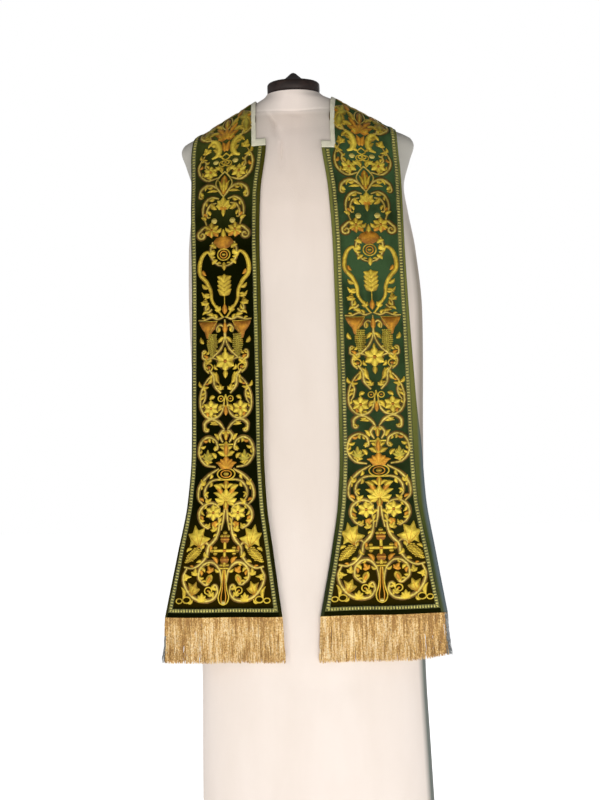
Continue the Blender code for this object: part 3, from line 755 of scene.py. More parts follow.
class Embroidery:
    """A drawing in millimetres, across from the panel's middle and up from its hem. A piece is
    drawn with its mirror image unless both is false."""

    def __init__(self):
        self.points, self.faces, self.uvs, self.tones = [], [], [], []
        self.count = 0
        self.layer = 0

    def add(self, points, patches, uvs, tone, both):
        """Keeps a piece made of patches of faces."""
        for mirror in ((1, -1) if both else (1,)):
            self.points.append(points * (mirror, 1, 1))
            self.uvs.append(uvs)
            for faces in patches:
                self.faces.append((faces if mirror > 0 else faces[:, ::-1]) + self.count)
                self.tones.append(np.full(len(faces), tone))
            self.count += len(points)
        self.layer = (self.layer + 1) % LAYERS

    def drawn(self):
        """Its points' places across, up and off the cloth, in metres."""
        return np.concatenate(self.points).T * MM

    def mesh(self, name, points, flipped, materials):
        faces = [face[::-1] if flipped else face for group in self.faces for face in group.tolist()]
        uvs, tones = np.concatenate(self.uvs), np.concatenate(self.tones)
        return mesh_object(name, points, faces, materials, uvs, tones)

    def satin(self, line, width, tone=YELLOW, both=True, rise=0.9, over=0.0):
        """A domed row of satin stitches along a line, over a piece that is this high."""
        line = np.asarray(line, float)
        half = np.broadcast_to(np.asarray(width, float), len(line)) / 2
        across, up = np.array(SATIN_SECTION).T
        left = half[:, None] * left_of(unit(np.gradient(line, axis=0)))
        flat = line[:, None] + across[None, :, None] * left[:, None]
        height = up[None, :] * np.minimum(rise, 0.3 * half + 0.25)[:, None] + LAYER_STEP * self.layer + over
        points = np.concatenate([flat, height[..., None]], -1).reshape(-1, 3)
        uvs = np.stack(np.broadcast_arrays(lengths(line)[:, None], across[None]), -1).reshape(-1, 2)
        self.add(points, [grid_faces(len(line), len(across))], uvs, tone, both)

    def stem(self, *points, width=3.0, tone=SCROLL, end=None, leaf_gap=22):
        """A stem through the points, with a small leaf on the inside of its bend at each gap. end is
        the curl that it ends in: turn, radius and turns."""
        line = through(*points)
        number = int(lengths(line)[-1] / leaf_gap)
        if end:
            line = curled(line, *end)
        heading = unit(np.gradient(line, axis=0))
        for k in range(number):
            index = round((k + 0.6) / number * 0.9 * (len(line) - 1))
            near, far = heading[max(0, index - 6)], heading[min(len(line) - 1, index + 6)]
            inside = np.sign(near[0] * far[1] - near[1] * far[0]) or 1
            way = 0.74 * heading[index] + 0.70 * inside * left_of(heading[index])
            size = LEAF_SIZES[k % 2]
            self.leaf(line[index] - 0.1 * way, line[index] + way * size, size * 0.46, 0.22 * inside,
                      ORANGE if k % 3 == 2 else YELLOW, steps=8)
        self.satin(line, swell(len(line), GROUND_FULL * width, 0.5, 0.5), SHADE, rise=0.12)
        self.satin(line, swell(len(line), STEM_FULL * width, 0.55, 0.55), tone)
        if end:
            self.dot(line[-1], width * 0.8)

    def domed(self, rings, heights, uvs, tone, both, over=0.0):
        """A domed piece from rings of points round its middle, the innermost first."""
        count = len(rings[0])
        flat = np.concatenate([[np.mean(rings[0], axis=0)], *rings])
        height = np.concatenate([[heights[0]], *(np.full(count, h) for h in heights[1:])])
        height += LAYER_STEP * self.layer + over
        k = np.arange(count)
        middle = np.stack([np.zeros(count, int), 1 + k, 1 + (k + 1) % count], -1)
        self.add(np.column_stack([flat, height]), [middle, tube_faces(len(rings), count, 1)], uvs, tone, both)

    def dot(self, centre, radius, tone=YELLOW, both=True, rise=1.0, sides=10, over=0.0):
        """A domed padded dot."""
        ring = circle(sides) * radius
        rise = min(rise, 0.2 + radius * 0.4)
        inner = ring * DOT_SHOULDER
        uvs = np.concatenate([[[0, 0]], inner, ring])
        self.domed([centre + inner, centre + ring], [rise, rise * 0.75, EDGE_DEPTH], uvs, tone, both, over)

    def blade(self, *corners, tone=YELLOW, vein=None, both=True, rise=1.3, rounding=0.22):
        """A filled leaf with a domed face. Its corners go anticlockwise from the foot of its
        middle vein, and its points are a little rounded. A vein runs to each point."""
        corners = np.asarray(corners, float)
        before, after = np.roll(corners, 1, axis=0), np.roll(corners, -1, axis=0)
        near = corners + rounding * (before - corners)
        far = corners + rounding * (after - corners)
        soft = 0.25 * near + 0.5 * corners + 0.25 * far
        outline = np.stack([near, soft, far, 0.5 * (far + np.roll(near, -1, axis=0))], 1).reshape(-1, 2)
        middle = outline.mean(axis=0)
        length = np.cumsum(np.linalg.norm(np.diff(outline, axis=0, prepend=outline[-1:]), axis=1))
        uvs = [[[0, 0]]] + [np.column_stack([length, np.full(len(length), share)]) for share in BLADE_RINGS]
        self.domed([middle + share * (outline - middle) for share in BLADE_RINGS],
                   [*(share * rise for share in BLADE_RISES), EDGE_DEPTH], np.concatenate(uvs), tone, both)
        if vein is not None:
            away = np.linalg.norm(corners - corners[0], axis=1)
            for tip in corners[(away > np.roll(away, 1)) & (away > np.roll(away, -1))]:
                self.satin(np.linspace(corners[0], corners[0] + 0.8 * (tip - corners[0]), 6),
                           swell(6, 1.3, 0.9, 0.3), vein, both, over=0.95 * rise)

    def ring(self, centre, radius, width, tone=YELLOW, both=True, squash=1.0):
        turn = np.linspace(0, 2 * math.pi, 25)
        line = np.stack([np.cos(turn) * radius, np.sin(turn) * radius * squash], -1) + centre
        self.satin(line, width, tone, both)

    def leaf(self, base, tip, width, bend=0.0, tone=YELLOW, both=True, rib=None, steps=10, over=0.0):
        """A pointed leaf from base to tip, bowed to its left by bend of its length."""
        base, tip = np.array((base, tip), float)
        t = np.linspace(0.0, 1.0, steps)
        way = tip - base
        line = base + t[:, None] * way + (bend * np.sin(np.pi * t))[:, None] * left_of(way)
        widths = LEAF_FULL * width * np.maximum(np.sin(np.pi * t**0.85), 0.06) ** 0.8
        self.satin(line, widths, tone, both, rise=1.2, over=over)
        if rib is not None:
            self.satin(line[1:-2], swell(steps - 3, 1.1, 0.6, 0.3), rib, both, over=0.9)

    def leaves(self, *rows):
        """Leaves, each from two numbers for its base, two for its tip, and the rest as for a leaf."""
        for x0, y0, x1, y1, *rest in rows:
            self.leaf((x0, y0), (x1, y1), *rest)

    def upright(self, base, tip, width, tone=YELLOW):
        """A leaf on the middle line."""
        self.leaf((0, base), (0, tip), width, 0, tone, False)

    def bar(self, reach, height, width, tone=YELLOW, steps=6):
        """A level bar across the middle line."""
        self.satin(np.linspace((-reach, height), (reach, height), steps), width, tone, False)

    def lobe(self, base, tip, width, tone, both, round_at):
        """A broad lobe with a rounded end."""
        base, tip = np.array((base, tip), float)
        t = np.linspace(0.0, 1.0, 10)
        flare_and_side_shade = 0.35 + 0.65 * np.sin(np.pi / 2 * np.clip(t / round_at, 0, 1))
        closing = np.sqrt(np.clip(1 - (np.clip(t - round_at, 0, 1) / (1 - round_at)) ** 2, 0.02, 1))
        line = base + t[:, None] * (tip - base)
        self.satin(line, width * np.minimum(flare_and_side_shade, closing), tone, both, rise=1.2)

    def bud(self, base, tip, width, tone=YELLOW, inner=ORANGE, both=True):
        """A rounded bud with a second, narrower one laid on it."""
        self.lobe(base, tip, width, tone, both, 0.55)
        base, tip = np.array((base, tip), float)
        inset = 0.1 * (tip - base)
        self.leaf(base + inset, base + 0.9 * (tip - base), width * 0.45, 0, inner, both, over=0.8)

    def spray(self, base, heading, size, count, spread, width, tone=YELLOW, both=True, rib=None):
        """Leaves that fan out from one place. heading and spread are in degrees."""
        for k in range(count):
            share = k / (count - 1) - 0.5
            length = size * (1 - 0.35 * abs(share) * 2)
            tip = np.asarray(base) + length * towards(heading + spread * share)
            self.leaf(base, tip, size * width, -0.25 * share, tone, both, rib)

    def flower(self, centre, radius, tone=BRIGHT, both=True, width=0.60):
        """A star of six petals on a darker ground."""
        self.dot(centre, 1.1 * radius, SHADE, both, rise=0.1)
        for k in range(6):
            way = radius * towards(90 + 60 * k)
            self.leaf(centre + 0.1 * way, centre + 1.2 * way, radius * width, 0, tone, both, steps=7)
        self.dot(centre, radius * 0.26, ORANGE, both, over=0.6)

    def bunch(self, base, tip, width, tone, grape):
        """Grapes packed in a bunch that narrows from its shoulders to its tip."""
        base, tip = np.array((base, tip), float)
        length = np.linalg.norm(tip - base)
        side = left_of((tip - base) / length)
        rows = max(3, round(length / (1.55 * grape)))
        self.lobe(tip, base - 0.02 * (tip - base), width * 0.9, tone, True, 0.7)
        for row in range(rows):
            t = row / (rows - 1)
            breadth = width * math.sin(math.pi * (0.22 + 0.74 * t)) ** 0.7
            number = max(1, round(breadth / (1.8 * grape)))
            for k in range(number):
                off = (k - (number - 1) / 2) * 1.8 * grape + (row % 2 - 0.5) * 0.3 * grape
                self.dot(base + t * (tip - base) + off * side, grape, tone, sides=8, over=0.8)

    def wheat(self, base, tip, width):
        """An ear of wheat: pairs of grains up a straw, and one at its tip."""
        base, tip = np.array((base, tip), float)
        way = tip - base
        side = left_of(way) / np.linalg.norm(way)
        self.satin(np.linspace(base - 0.35 * way, tip, 12), 1.8, both=False)
        for k in range(4):
            foot = base + way * (0.05 + 0.2 * k)
            for s in (-1, 1):
                end = foot + way * 0.32 + s * side * width * 0.46
                self.leaf(foot, end, width * 0.36, -0.12 * s, both=False)
        self.leaf(base + 0.75 * way, tip + 0.08 * way, width * 0.36, both=False)

    def cross(self, centre, reach_across, reach_up):
        """A cross with budded ends."""
        centre = np.asarray(centre, float)
        for degrees, reach in ((0, reach_across), (180, reach_across), (90, reach_up), (270, reach_up)):
            way = towards(degrees).round()
            side = left_of(way)
            arm = np.linspace(centre, centre + way * reach * 0.85, 6)
            self.satin(arm, (6, 6, 6, 6, 6.5, 7), both=False, rise=1.5)
            end = centre + way * reach
            self.dot(end, 4.2, both=False, rise=1.6)
            for s in (-1, 1):
                self.dot(end - way * 6 + s * side * 5.4, 3.8, both=False, rise=1.5)
        self.dot(centre, 4.8, ORANGE, False, 1.9)


def draw_foot(work):
    """Great scrolls above the hem, a drop between them and a looped knot in each corner."""
    work.stem((70, 93), (77, 75), (71, 54), (57, 38), (38, 31), (21, 34), (12, 46), (13, 56), width=3.4,
              end=(-1, 6, 0.45))
    work.stem((4, 64), (8, 86), (20, 101), (35, 101), (46, 89), (47, 73), (38, 63), width=3.4,
              end=(-1, 8, 0.4))
    work.bud((32, 62), (24, 80), 12)
    work.ring((29, 50), 6.4, 2.6)
    work.dot((29, 50), 2.2, ORANGE)
    work.spray((41, 29), 92, 17, 5, 120, 0.44)
    work.blade((60, 41), (68, 47), (64, 55), (68, 66), (58, 61), (51, 68), (50, 57), (43, 53), (50, 45),
               vein=ORANGE)
    work.leaves((75, 82, 61, 76, 5, 0.2), (76, 68, 66, 74, 5, -0.2), (45, 92, 36, 84, 5, -0.2),
                (47, 76, 38, 74, 5, 0.2))
    work.ring((69, 33), 7.4, 2.8, squash=0.78)
    work.ring((83, 31), 5.6, 2.6, squash=0.80)
    work.leaves((76, 36, 80, 57, 6, 0.2), (66, 26, 58, 34, 4, 0.2))
    for squash, tone, width in ((1.0, YELLOW, 2.8), (0.45, ORANGE, 2.2)):
        work.satin(through((1, 96), (4 * squash, 68), (6 * squash, 52), (10 * squash, 38), (7 * squash, 27),
                           (0, 23 + 9 * (1 - squash))), width, tone)
    work.dot((0, 27), 4.2, PALE, False, 1.8)
    work.spray((56, 78), 100, 14, 3, 100, 0.44)
    work.spray((24, 84), 60, 14, 3, 110, 0.42, ORANGE)
    work.spray((22, 40), 60, 12, 3, 110, 0.42)
    work.leaf((16, 60), (22, 50), 5, 0.2)


def draw_cross(work):
    """A cross between vine leaves, and pods on hooked stems."""
    work.cross((0, 124), 24, 33)
    work.dot((0, 145), 8.5, ORANGE, False, 1.7)
    work.dot((0, 107), 8.5, ORANGE, False, 1.7)
    work.bar(11, 91, 3.2, steps=5)
    work.stem((14, 192), (12, 168), (18, 147), (31, 131), (34, 115), (45, 100), (60, 92), (76, 94), width=3.4)
    work.stem((2, 206), (4, 184), (8, 162), width=2.6)
    work.stem((29, 132), (36, 139), (45, 135), (44, 125), width=2.8)
    work.bunch((49, 127), (73, 103), 18, YELLOW, 2.3)
    work.blade((48, 130), (58, 136), (67, 131), (65, 143), (71, 156), (62, 157), (58, 173), (51, 162),
               (39, 167), (41, 152), (27, 147), (38, 138), tone=BRIGHT, vein=ORANGE, rounding=0.15)
    work.spray((20, 160), 70, 14, 3, 110, 0.42)
    work.leaves((38, 122, 30, 112, 6, 0.2), (14, 100, 24, 112, 6, 0.2, ORANGE), (62, 128, 72, 122, 5, 0.2))


def draw_blossom(work):
    """Doubled scrolls round a standing blossom, with star flowers under them."""
    work.stem((14, 277), (36, 263), (51, 243), (53, 222), (44, 210), width=3.2)
    work.stem((10, 258), (28, 254), (39, 242), (41, 227), (35, 216), width=2.8)
    work.leaf((41, 226), (33, 233), 5, -0.2)
    work.spray((38, 213), 140, 13, 3, 100, 0.42)
    work.stem((11, 194), (16, 208), (32, 213), (47, 203), (51, 188), (45, 174), (36, 167), width=3.2,
              end=(-1, 5, 0.3))
    work.flower((24, 195), 13)
    work.leaves((50, 184, 40, 180, 6, 0.2), (38, 168, 30, 176, 5, 0.2), (46, 200, 40, 190, 4, 0.2))
    work.spray((0, 216), 90, 24, 5, 120, 0.42, BRIGHT, False, ORANGE)
    work.leaves((2, 217, 21, 221, 9, -0.1, BRIGHT), (6, 222, 24, 232, 7, 0.1),
                (8, 228, 18, 242, 7, 0.1, ORANGE))
    work.spray((42, 246), 60, 13, 3, 100, 0.40)
    work.leaves((8, 186, 12, 174, 5, 0.1), (10, 236, 24, 246, 8, 0.15))
    work.spray((22, 178), 250, 13, 3, 100, 0.5, ORANGE)
    work.leaf((2, 214), (17, 208), 7, 0.1)
    work.bud((0, 218), (0, 200), 11, ORANGE, YELLOW, False)
    work.bud((0, 237), (0, 256), 10, ORANGE, YELLOW, False)
    work.leaf((3, 240), (14, 248), 5, 0.2)
    work.bar(17, 256, 2.8)
    work.ring((0, 267), 17, 2.8, YELLOW, False, 0.62)
    work.ring((0, 267), 10, 2.4, ORANGE, False, 0.66)
    work.dot((0, 267), 5.0, YELLOW, False, 1.8)


def draw_chalice(work):
    """Round scrolls filled with leaves, on both sides of a stem in the shape of a cup."""
    work.stem((20, 280), (40, 285), (52, 304), (48, 326), (34, 336), (20, 330), (16, 319), width=3.2,
              end=(1, 6, 0.5))
    work.stem((33, 285), (38, 297), (35, 312), width=2.4, tone=GREEN_GOLD)
    work.spray((35, 290), 92, 21, 5, 110, 0.26, GREEN_GOLD)
    work.spray((35, 288), 100, 13, 4, 150, 0.34)
    work.leaves((50, 318, 39, 320, 5, 0.2), (51, 300, 43, 304, 4, 0.2), (30, 335, 30, 326, 5, 0.2))
    work.spray((0, 277), 90, 25, 5, 130, 0.46, ORANGE, False, YELLOW)
    work.leaf((4, 279), (20, 288), 7, 0.15, ORANGE)
    work.bud((0, 298), (0, 328), 14, both=False)
    work.bar(14, 322, 3.4, BRIGHT)
    work.leaves((3, 312, 12, 318, 5, 0.1), (4, 300, 16, 308, 7, 0.15), (20, 296, 28, 306, 6, 0.15),
                (14, 330, 22, 342, 6, 0.15))
    work.stem((6, 326), (12, 338), (8, 346), width=3.0, end=(1, 4, 0.6))
    work.bud((0, 330), (0, 348), 9, ORANGE, YELLOW, False)
    work.stem((3, 350), (12, 362), (27, 370), (40, 363), (41, 352), width=3.6, end=(-1, 5, 0.6))
    work.leaves((14, 359, 30, 360, 4.5, 0.1), (26, 370, 34, 378, 4, 0.2))


def draw_vase(work):
    """Tall ovals that hold star flowers, under stems in the outline of a vase."""
    work.stem((3, 402), (7, 384), (18, 373), (34, 373), (46, 386), (49, 405), (45, 425), (35, 442), (22, 454),
              width=3.0)
    work.stem((43, 430), (38, 420), (40, 407), (45, 398), width=2.4)
    work.spray((43, 428), 170, 12, 3, 130, 0.38)
    work.leaf((43, 430), (50, 441), 5, -0.2)
    work.flower((28, 390), 13)
    work.stem((30, 463), (22, 450), (20, 433), (9, 418), width=3.6)
    work.leaf((17, 458), (11, 436), 8, 0.15)
    work.dot((7, 428), 3.2)
    work.spray((8, 424), 75, 13, 3, 100, 0.44)
    work.leaves((4, 396, 14, 386, 6, 0.15), (20, 412, 30, 406, 6, 0.15), (26, 448, 34, 436, 6, -0.15))
    work.ring((9, 408), 5.2, 2.4)
    work.dot((9, 408), 2.0, ORANGE)
    work.satin(through((0, 416), (3, 400), (0, 384)), 2.8)
    work.upright(376, 396, 6, ORANGE)


def draw_star(work):
    """A large star with a curl and a ringed knob on each side."""
    work.flower((0, 478), 16, both=False, width=0.66)
    work.ring((31, 467), 7.0, 2.8)
    work.dot((31, 467), 3.6, ORANGE)
    work.stem((12, 480), (26, 485), (38, 478), (39, 466), (31, 456), width=2.8)
    work.leaves((20, 472, 14, 462, 5, 0.2), (24, 458, 14, 452, 5, 0.1))
    work.spray((32, 474), 60, 13, 3, 120, 0.42)
    work.upright(462, 446, 7)


def draw_grapes(work):
    """Grapes and broad vine leaves that hang under arching stems."""
    work.bunch((23, 528), (25, 487), 19, GREEN_GOLD, 2.2)
    work.stem((0, 556), (1, 522), (7, 504), (18, 491), (31, 482), (42, 485), (43, 494), width=2.8,
              end=(1, 5, 0.5))
    work.stem((2, 542), (9, 546), (15, 540), (14, 532), width=2.6)
    work.blade((14, 553), (17, 540), (25, 532), (27, 518), (35, 521), (38, 533), (44, 540), (50, 553),
               (36, 552), tone=ORANGE, vein=YELLOW)
    work.stem((1, 561), (14, 557), (24, 561), (38, 556), (50, 556), width=2.6)
    work.leaves((27, 520, 32, 508, 5, 0.1, ORANGE), (36, 492, 30, 500, 4, 0.2), (4, 520, 12, 512, 6, 0.15),
                (40, 512, 46, 524, 6, -0.15), (0, 530, 0, 552, 7, 0, ORANGE, False),
                (0, 504, 0, 490, 4, 0, YELLOW, False))


def draw_lyre(work):
    """A lyre with an ear of wheat in it."""
    arm = through((3, 560), (14, 576), (24, 593), (26, 611), (34, 628), (45, 642), (46, 660), (40, 677),
                  (30, 684), (25, 675))
    work.satin(arm, swell(len(arm), 8.5, 0.42, 0.42, 0.62))
    work.wheat((0, 598), (0, 638), 28)
    work.leaves((26, 600, 43, 609, 5.5, -0.2), (28, 604, 40, 598, 4.5, 0.2))
    work.stem((24, 576), (32, 570), (36, 578), (33, 588), width=3.2)
    work.dot((37, 591), 4.6, rise=1.7)
    work.leaves((30, 571, 42, 566, 5, 0.2), (28, 680, 18, 688, 8, 0.2, BRIGHT), (26, 676, 16, 674, 5, 0.1),
                (30, 616, 42, 624, 6, -0.15), (40, 650, 34, 640, 5, 0.15, ORANGE))
    work.spray((10, 572), 60, 14, 3, 90, 0.42)
    work.upright(566, 586, 7, ORANGE)
    work.spray((38, 584), 100, 14, 3, 120, 0.5)
    work.leaf((20, 562), (34, 566), 6, 0.15)


def draw_heart(work):
    """A heart over a ringed knot with a pendant."""
    work.blade((0, 686), (12, 692), (20, 701), (14, 709), (6, 712), (0, 720), (-6, 712), (-14, 709),
               (-20, 701), (-12, 692), tone=ORANGE, both=False)
    work.leaves((0, 706, 0, 726, 7, 0, YELLOW, False), (10, 712, 22, 720, 7, 0.15, ORANGE),
                (14, 690, 26, 696, 7, 0.15), (12, 668, 22, 660, 7, 0.15))
    work.stem((20, 702), (24, 688), (22, 672), (12, 660), (2, 656), width=2.8)
    work.ring((0, 678), 11.5, 2.8, YELLOW, False, 0.92)
    work.ring((0, 678), 6.4, 2.6, ORANGE, False)
    work.dot((0, 678), 3.4, YELLOW, False, 1.7)
    work.upright(664, 648, 7)


def draw_palmette(work):
    """A palmette between two doubled arms that end in spirals and rosettes."""
    work.spray((0, 766), 90, 22, 5, 150, 0.46, BRIGHT, False, ORANGE)
    work.spray((0, 770), 270, 14, 3, 120, 0.50, ORANGE, False)
    work.upright(766, 750, 6)
    work.stem((8, 784), (22, 787), (34, 777), (38, 758), (31, 734), width=3.0)
    work.stem((13, 776), (24, 773), (30, 762), (30, 752), width=2.4, end=(-1, 4, 0.4))
    work.dot((17, 742), 5.4, PALE, rise=2.0)
    work.flower((22, 725), 12, YELLOW)
    work.leaf((14, 722), (4, 728), 6, 0.2)
    work.spray((26, 722), 250, 13, 3, 110, 0.44, ORANGE)
    work.leaves((32, 744, 42, 750, 6, 0.15), (22, 776, 12, 764, 7, 0.15))
    work.stem((26, 732), (36, 730), (45, 722), width=3.4, end=(-1, 8, 1.15), leaf_gap=99)


def draw_mandorla(work):
    """A bud in a pointed oval, with long curled arms under it."""
    work.satin(through((0, 838), (9, 828), (15, 815), (9, 800), (0, 788)), 3.2, SCROLL)
    work.bud((0, 792), (0, 830), 14, ORANGE, YELLOW, False)
    work.leaf((4, 800), (10, 820), 5, 0.1)
    work.stem((3, 792), (14, 807), (28, 812), (41, 805), (45, 793), width=3.6, end=(-1, 5, 0.5))
    work.leaves((10, 799, 30, 798, 4.5, 0.1), (26, 812, 34, 801, 4, 0.2),
                (43, 800, 36, 792, 5, 0.1, BRIGHT))


def draw_crown(work):
    """Wide scrolls with flowers and pearls, and two standing acanthus leaves round an oval."""
    work.stem((12, 826), (30, 822), (45, 834), (50, 852), (47, 870), (40, 884), width=3.0)
    work.stem((44, 874), (36, 864), (37, 852), (29, 840), width=2.8)
    work.flower((26, 838), 12)
    work.leaves((18, 832, 30, 846, 7, 0.1), (43, 876, 46, 889, 5, -0.2), (44, 880, 34, 872, 5, 0.2),
                (38, 862, 30, 866, 4, 0.2))
    work.dot((18, 861), 5.4, PALE, rise=2.0)
    work.satin(through((3, 834), (10, 846), (-7, 858), (7, 870), (0, 880)), 3.2)
    work.ring((5, 856), 6.4, 2.6)
    work.leaf((4, 838), (14, 850), 6, 0.15)
    acanthus = through((26, 872), (16, 878), (13, 892), (19, 908), (28, 914))
    work.satin(acanthus, swell(len(acanthus), 12, 0.35, 0.5, 0.55), BRIGHT)
    work.leaves((15, 884, 24, 894, 6, 0.1), (17, 900, 28, 904, 7, 0.1), (14, 880, 6, 872, 5, 0.1),
                (24, 912, 34, 902, 6, 0.1))
    work.spray((0, 912), 90, 25, 7, 170, 0.42, ORANGE, False, YELLOW)
    work.leaves((4, 914, 22, 926, 9, 0.1, ORANGE), (8, 910, 16, 922, 6, 0.1))
    work.spray((34, 888), 70, 16, 3, 110, 0.50)
    work.leaves((3, 884, 7, 906, 8, 0.1, ORANGE), (6, 846, 18, 850, 6, -0.2, BRIGHT))


def draw_shoulder(work):
    """Buds and leaves that run on over the shoulder and end behind it."""
    work.stem((24, 916), (38, 920), (50, 934), (48, 952), (34, 964), width=3.0)
    work.stem((26, 910), (32, 926), (30, 944), width=2.6)
    work.bud((38, 922), (36, 952), 21, YELLOW, GREEN_GOLD)
    work.spray((34, 948), 100, 22, 3, 90, 0.44, GREEN_GOLD)
    work.leaf((8, 926), (20, 944), 8, 0.1, ORANGE)
    work.satin(through((0, 932), (9, 946), (7, 962), (0, 974)), 3.0, SCROLL)
    work.bud((0, 936), (0, 966), 12, ORANGE, YELLOW, False)
    work.leaves((10, 940, 24, 958, 8, 0.1), (14, 928, 32, 934, 8, 0.1), (20, 958, 30, 972, 8, 0.1, ORANGE))
    work.spray((0, 974), 90, 25, 5, 150, 0.40, YELLOW, False, ORANGE)
    work.stem((4, 972), (18, 974), (32, 984), (30, 1000), width=3.4, end=(1, 8, 0.8))
    work.spray((32, 984), 40, 16, 3, 90, 0.42, ORANGE)
    work.leaf((20, 976), (40, 978), 7, 0.1)
    work.flower((0, 1012), 13, YELLOW, False)
    work.stem((6, 1008), (18, 1012), (26, 1024), width=3.2, end=(1, 7, 0.9))
    work.bud((0, 1028), (0, 1056), 14, ORANGE, YELLOW, False)
    work.spray((12, 1034), 50, 18, 3, 90, 0.42)


DRAWINGS = (draw_foot, draw_cross, draw_blossom, draw_chalice, draw_vase, draw_star, draw_grapes, draw_lyre,
            draw_heart, draw_palmette, draw_mandorla, draw_crown, draw_shoulder)


# Behind the shoulder's top, at SHIFT_ENDS, the inner line is read this much further out. The shift
# fades over the stations in front of it
BACK_SHIFT = 0.001
SHIFT_ENDS = 0.19
SHIFT_FADES = 0.16
SEWN_LIFT = 0.0001


def panel_middle(side, station):
    """Halfway between the outer braid and the inner one or the line that carries it on."""
    past = np.clip((station - SHIFT_ENDS) / SHIFT_FADES, 0, 1)
    inner = INNER_INSET + BRAID_WIDTH - NOTCH_WIDTH + BACK_SHIFT * (1 - past)
    return (inner + braid_edge(side, station) - BRAID_WIDTH) / 2


def make_embroidery(panel, word, work, materials):
    across, up, off = work.drawn()
    station = HEM_STATION - up
    points = panel.at(station, panel_middle(panel.side, station) + across, off + SEWN_LIFT)
    sewn = work.mesh(f"embroidery_{word}", points, panel.side < 0, materials)
    return sewn


# ---------------------------------------------------------------- trims

# Sections as a share of the width and of the rise, and the binding's in metres
BRAID_PROFILE = ((0, 0), (0.03, 0.75), (0.09, 1.0), (0.15, 0.7), (0.19, 0.3), (0.81, 0.3), (0.85, 0.7),
                 (0.91, 1.0), (0.97, 0.75), (1, 0))
BRAID_RISE = 0.0009
OUTER_STEPS, HEM_STEPS, INNER_STEPS = 320, 60, 240
BAR_PITCH = 0.0055
BAR_SIDES = 10
BAR_REACH = 0.0031
BAR_HALF = 0.0017
BAR_RISE = 0.0013
BAR_SQUARENESS = 0.6
BINDING_PROFILE = ((0.0075, 0.0001), (0.0073, 0.0008), (0.0060, 0.0011), (0.0035, 0.0012), (0.0012, 0.0011),
                   (-0.0002, 0.0007), (-0.0007, 0.0), (-0.0007, -0.0012), (-0.0002, -0.0022))
BINDING_STEPS, FOOT_STEPS = 110, 16
STITCH_PITCH = 0.0032
STITCH_LENGTH = 0.0022
STITCH_WIDTH = 0.45          # millimetres, as in a drawing
STITCH_INSET = 0.0013
STITCH_START = 0.006         # of the first stitch from the centre-back seam
STITCH_CLEAR = 0.003         # no stitch starts nearer than this to the end of its row
TIP_CLEAR = 0.002
STITCH_LIFT = 0.00105


def braid_line(side, across):
    """Places along the braid at a share of its width: down the outer edge, across and up."""
    hem = HEM_STATION - HEM_INSET - across * BRAID_WIDTH
    start = NOTCH_STATIONS[side] + FOOT_WIDTH + BRAID_START
    outer = np.linspace(SEAM_GAP, hem, OUTER_STEPS)
    inner = np.linspace(hem, start, INNER_STEPS)[1:]
    out_at = braid_edge(side, outer) - across * BRAID_WIDTH
    in_at = INNER_INSET - NOTCH_WIDTH + across * BRAID_WIDTH
    level = np.linspace(out_at[-1], in_at, HEM_STEPS)[1:]
    station = np.concatenate([outer, np.full(len(level), hem), inner])
    from_neck = np.concatenate([out_at, level, np.full(len(inner), in_at)])
    return station, from_neck


def make_braid(panel, word, strip_finish, bar_finish):
    """A woven strip between two cords, with a pale bar across it at each step."""
    lines = []
    for across, up in BRAID_PROFILE:
        station, from_neck = braid_line(panel.side, across)
        lines.append(np.stack([station, from_neck, np.full(len(station), up * BRAID_RISE)], -1))
    strip = panel.strip(f"braid_{word}", lines, [strip_finish])
    middle = braid_line(panel.side, 0.5)
    line = panel.at(*middle, 0.0)
    normal = unit(panel.at(*middle, 0.001) - line)
    along = lengths(line)
    places = np.arange(BAR_PITCH / 2, along[-1], BAR_PITCH)
    centre, up, forward = (
        np.stack([np.interp(places, along, values[:, k]) for k in range(3)], -1)
        for values in (line, normal, np.gradient(line, along, axis=0))
    )
    forward = unit(forward)
    across = np.cross(up, forward)
    outline = circle(BAR_SIDES)
    outline = np.sign(outline) * np.abs(outline) ** BAR_SQUARENESS
    shape = np.concatenate([[[0, 0, 1]], np.c_[outline * 0.7, np.full(BAR_SIDES, 0.8)],
                            np.c_[outline, np.full(BAR_SIDES, 0.1)]])
    points = (centre[:, None] + BAR_REACH * shape[None, :, :1] * across[:, None]
              + BAR_HALF * shape[None, :, 1:2] * forward[:, None]
              + BAR_RISE * shape[None, :, 2:] * up[:, None])
    faces = []
    for start in range(0, len(places) * len(shape), len(shape)):
        for k in range(BAR_SIDES):
            near, far = start + 1 + k, start + 1 + (k + 1) % BAR_SIDES
            faces.append([start, far, near])
            faces.append([near, far, far + BAR_SIDES, near + BAR_SIDES])
    uvs = np.broadcast_to(shape[None, :, :2], (len(places), len(shape), 2))
    bars = mesh_object(f"braid_bars_{word}", points, faces, [bar_finish], uvs)
    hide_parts(f"border_braid_{word}")
    return [strip, bars]


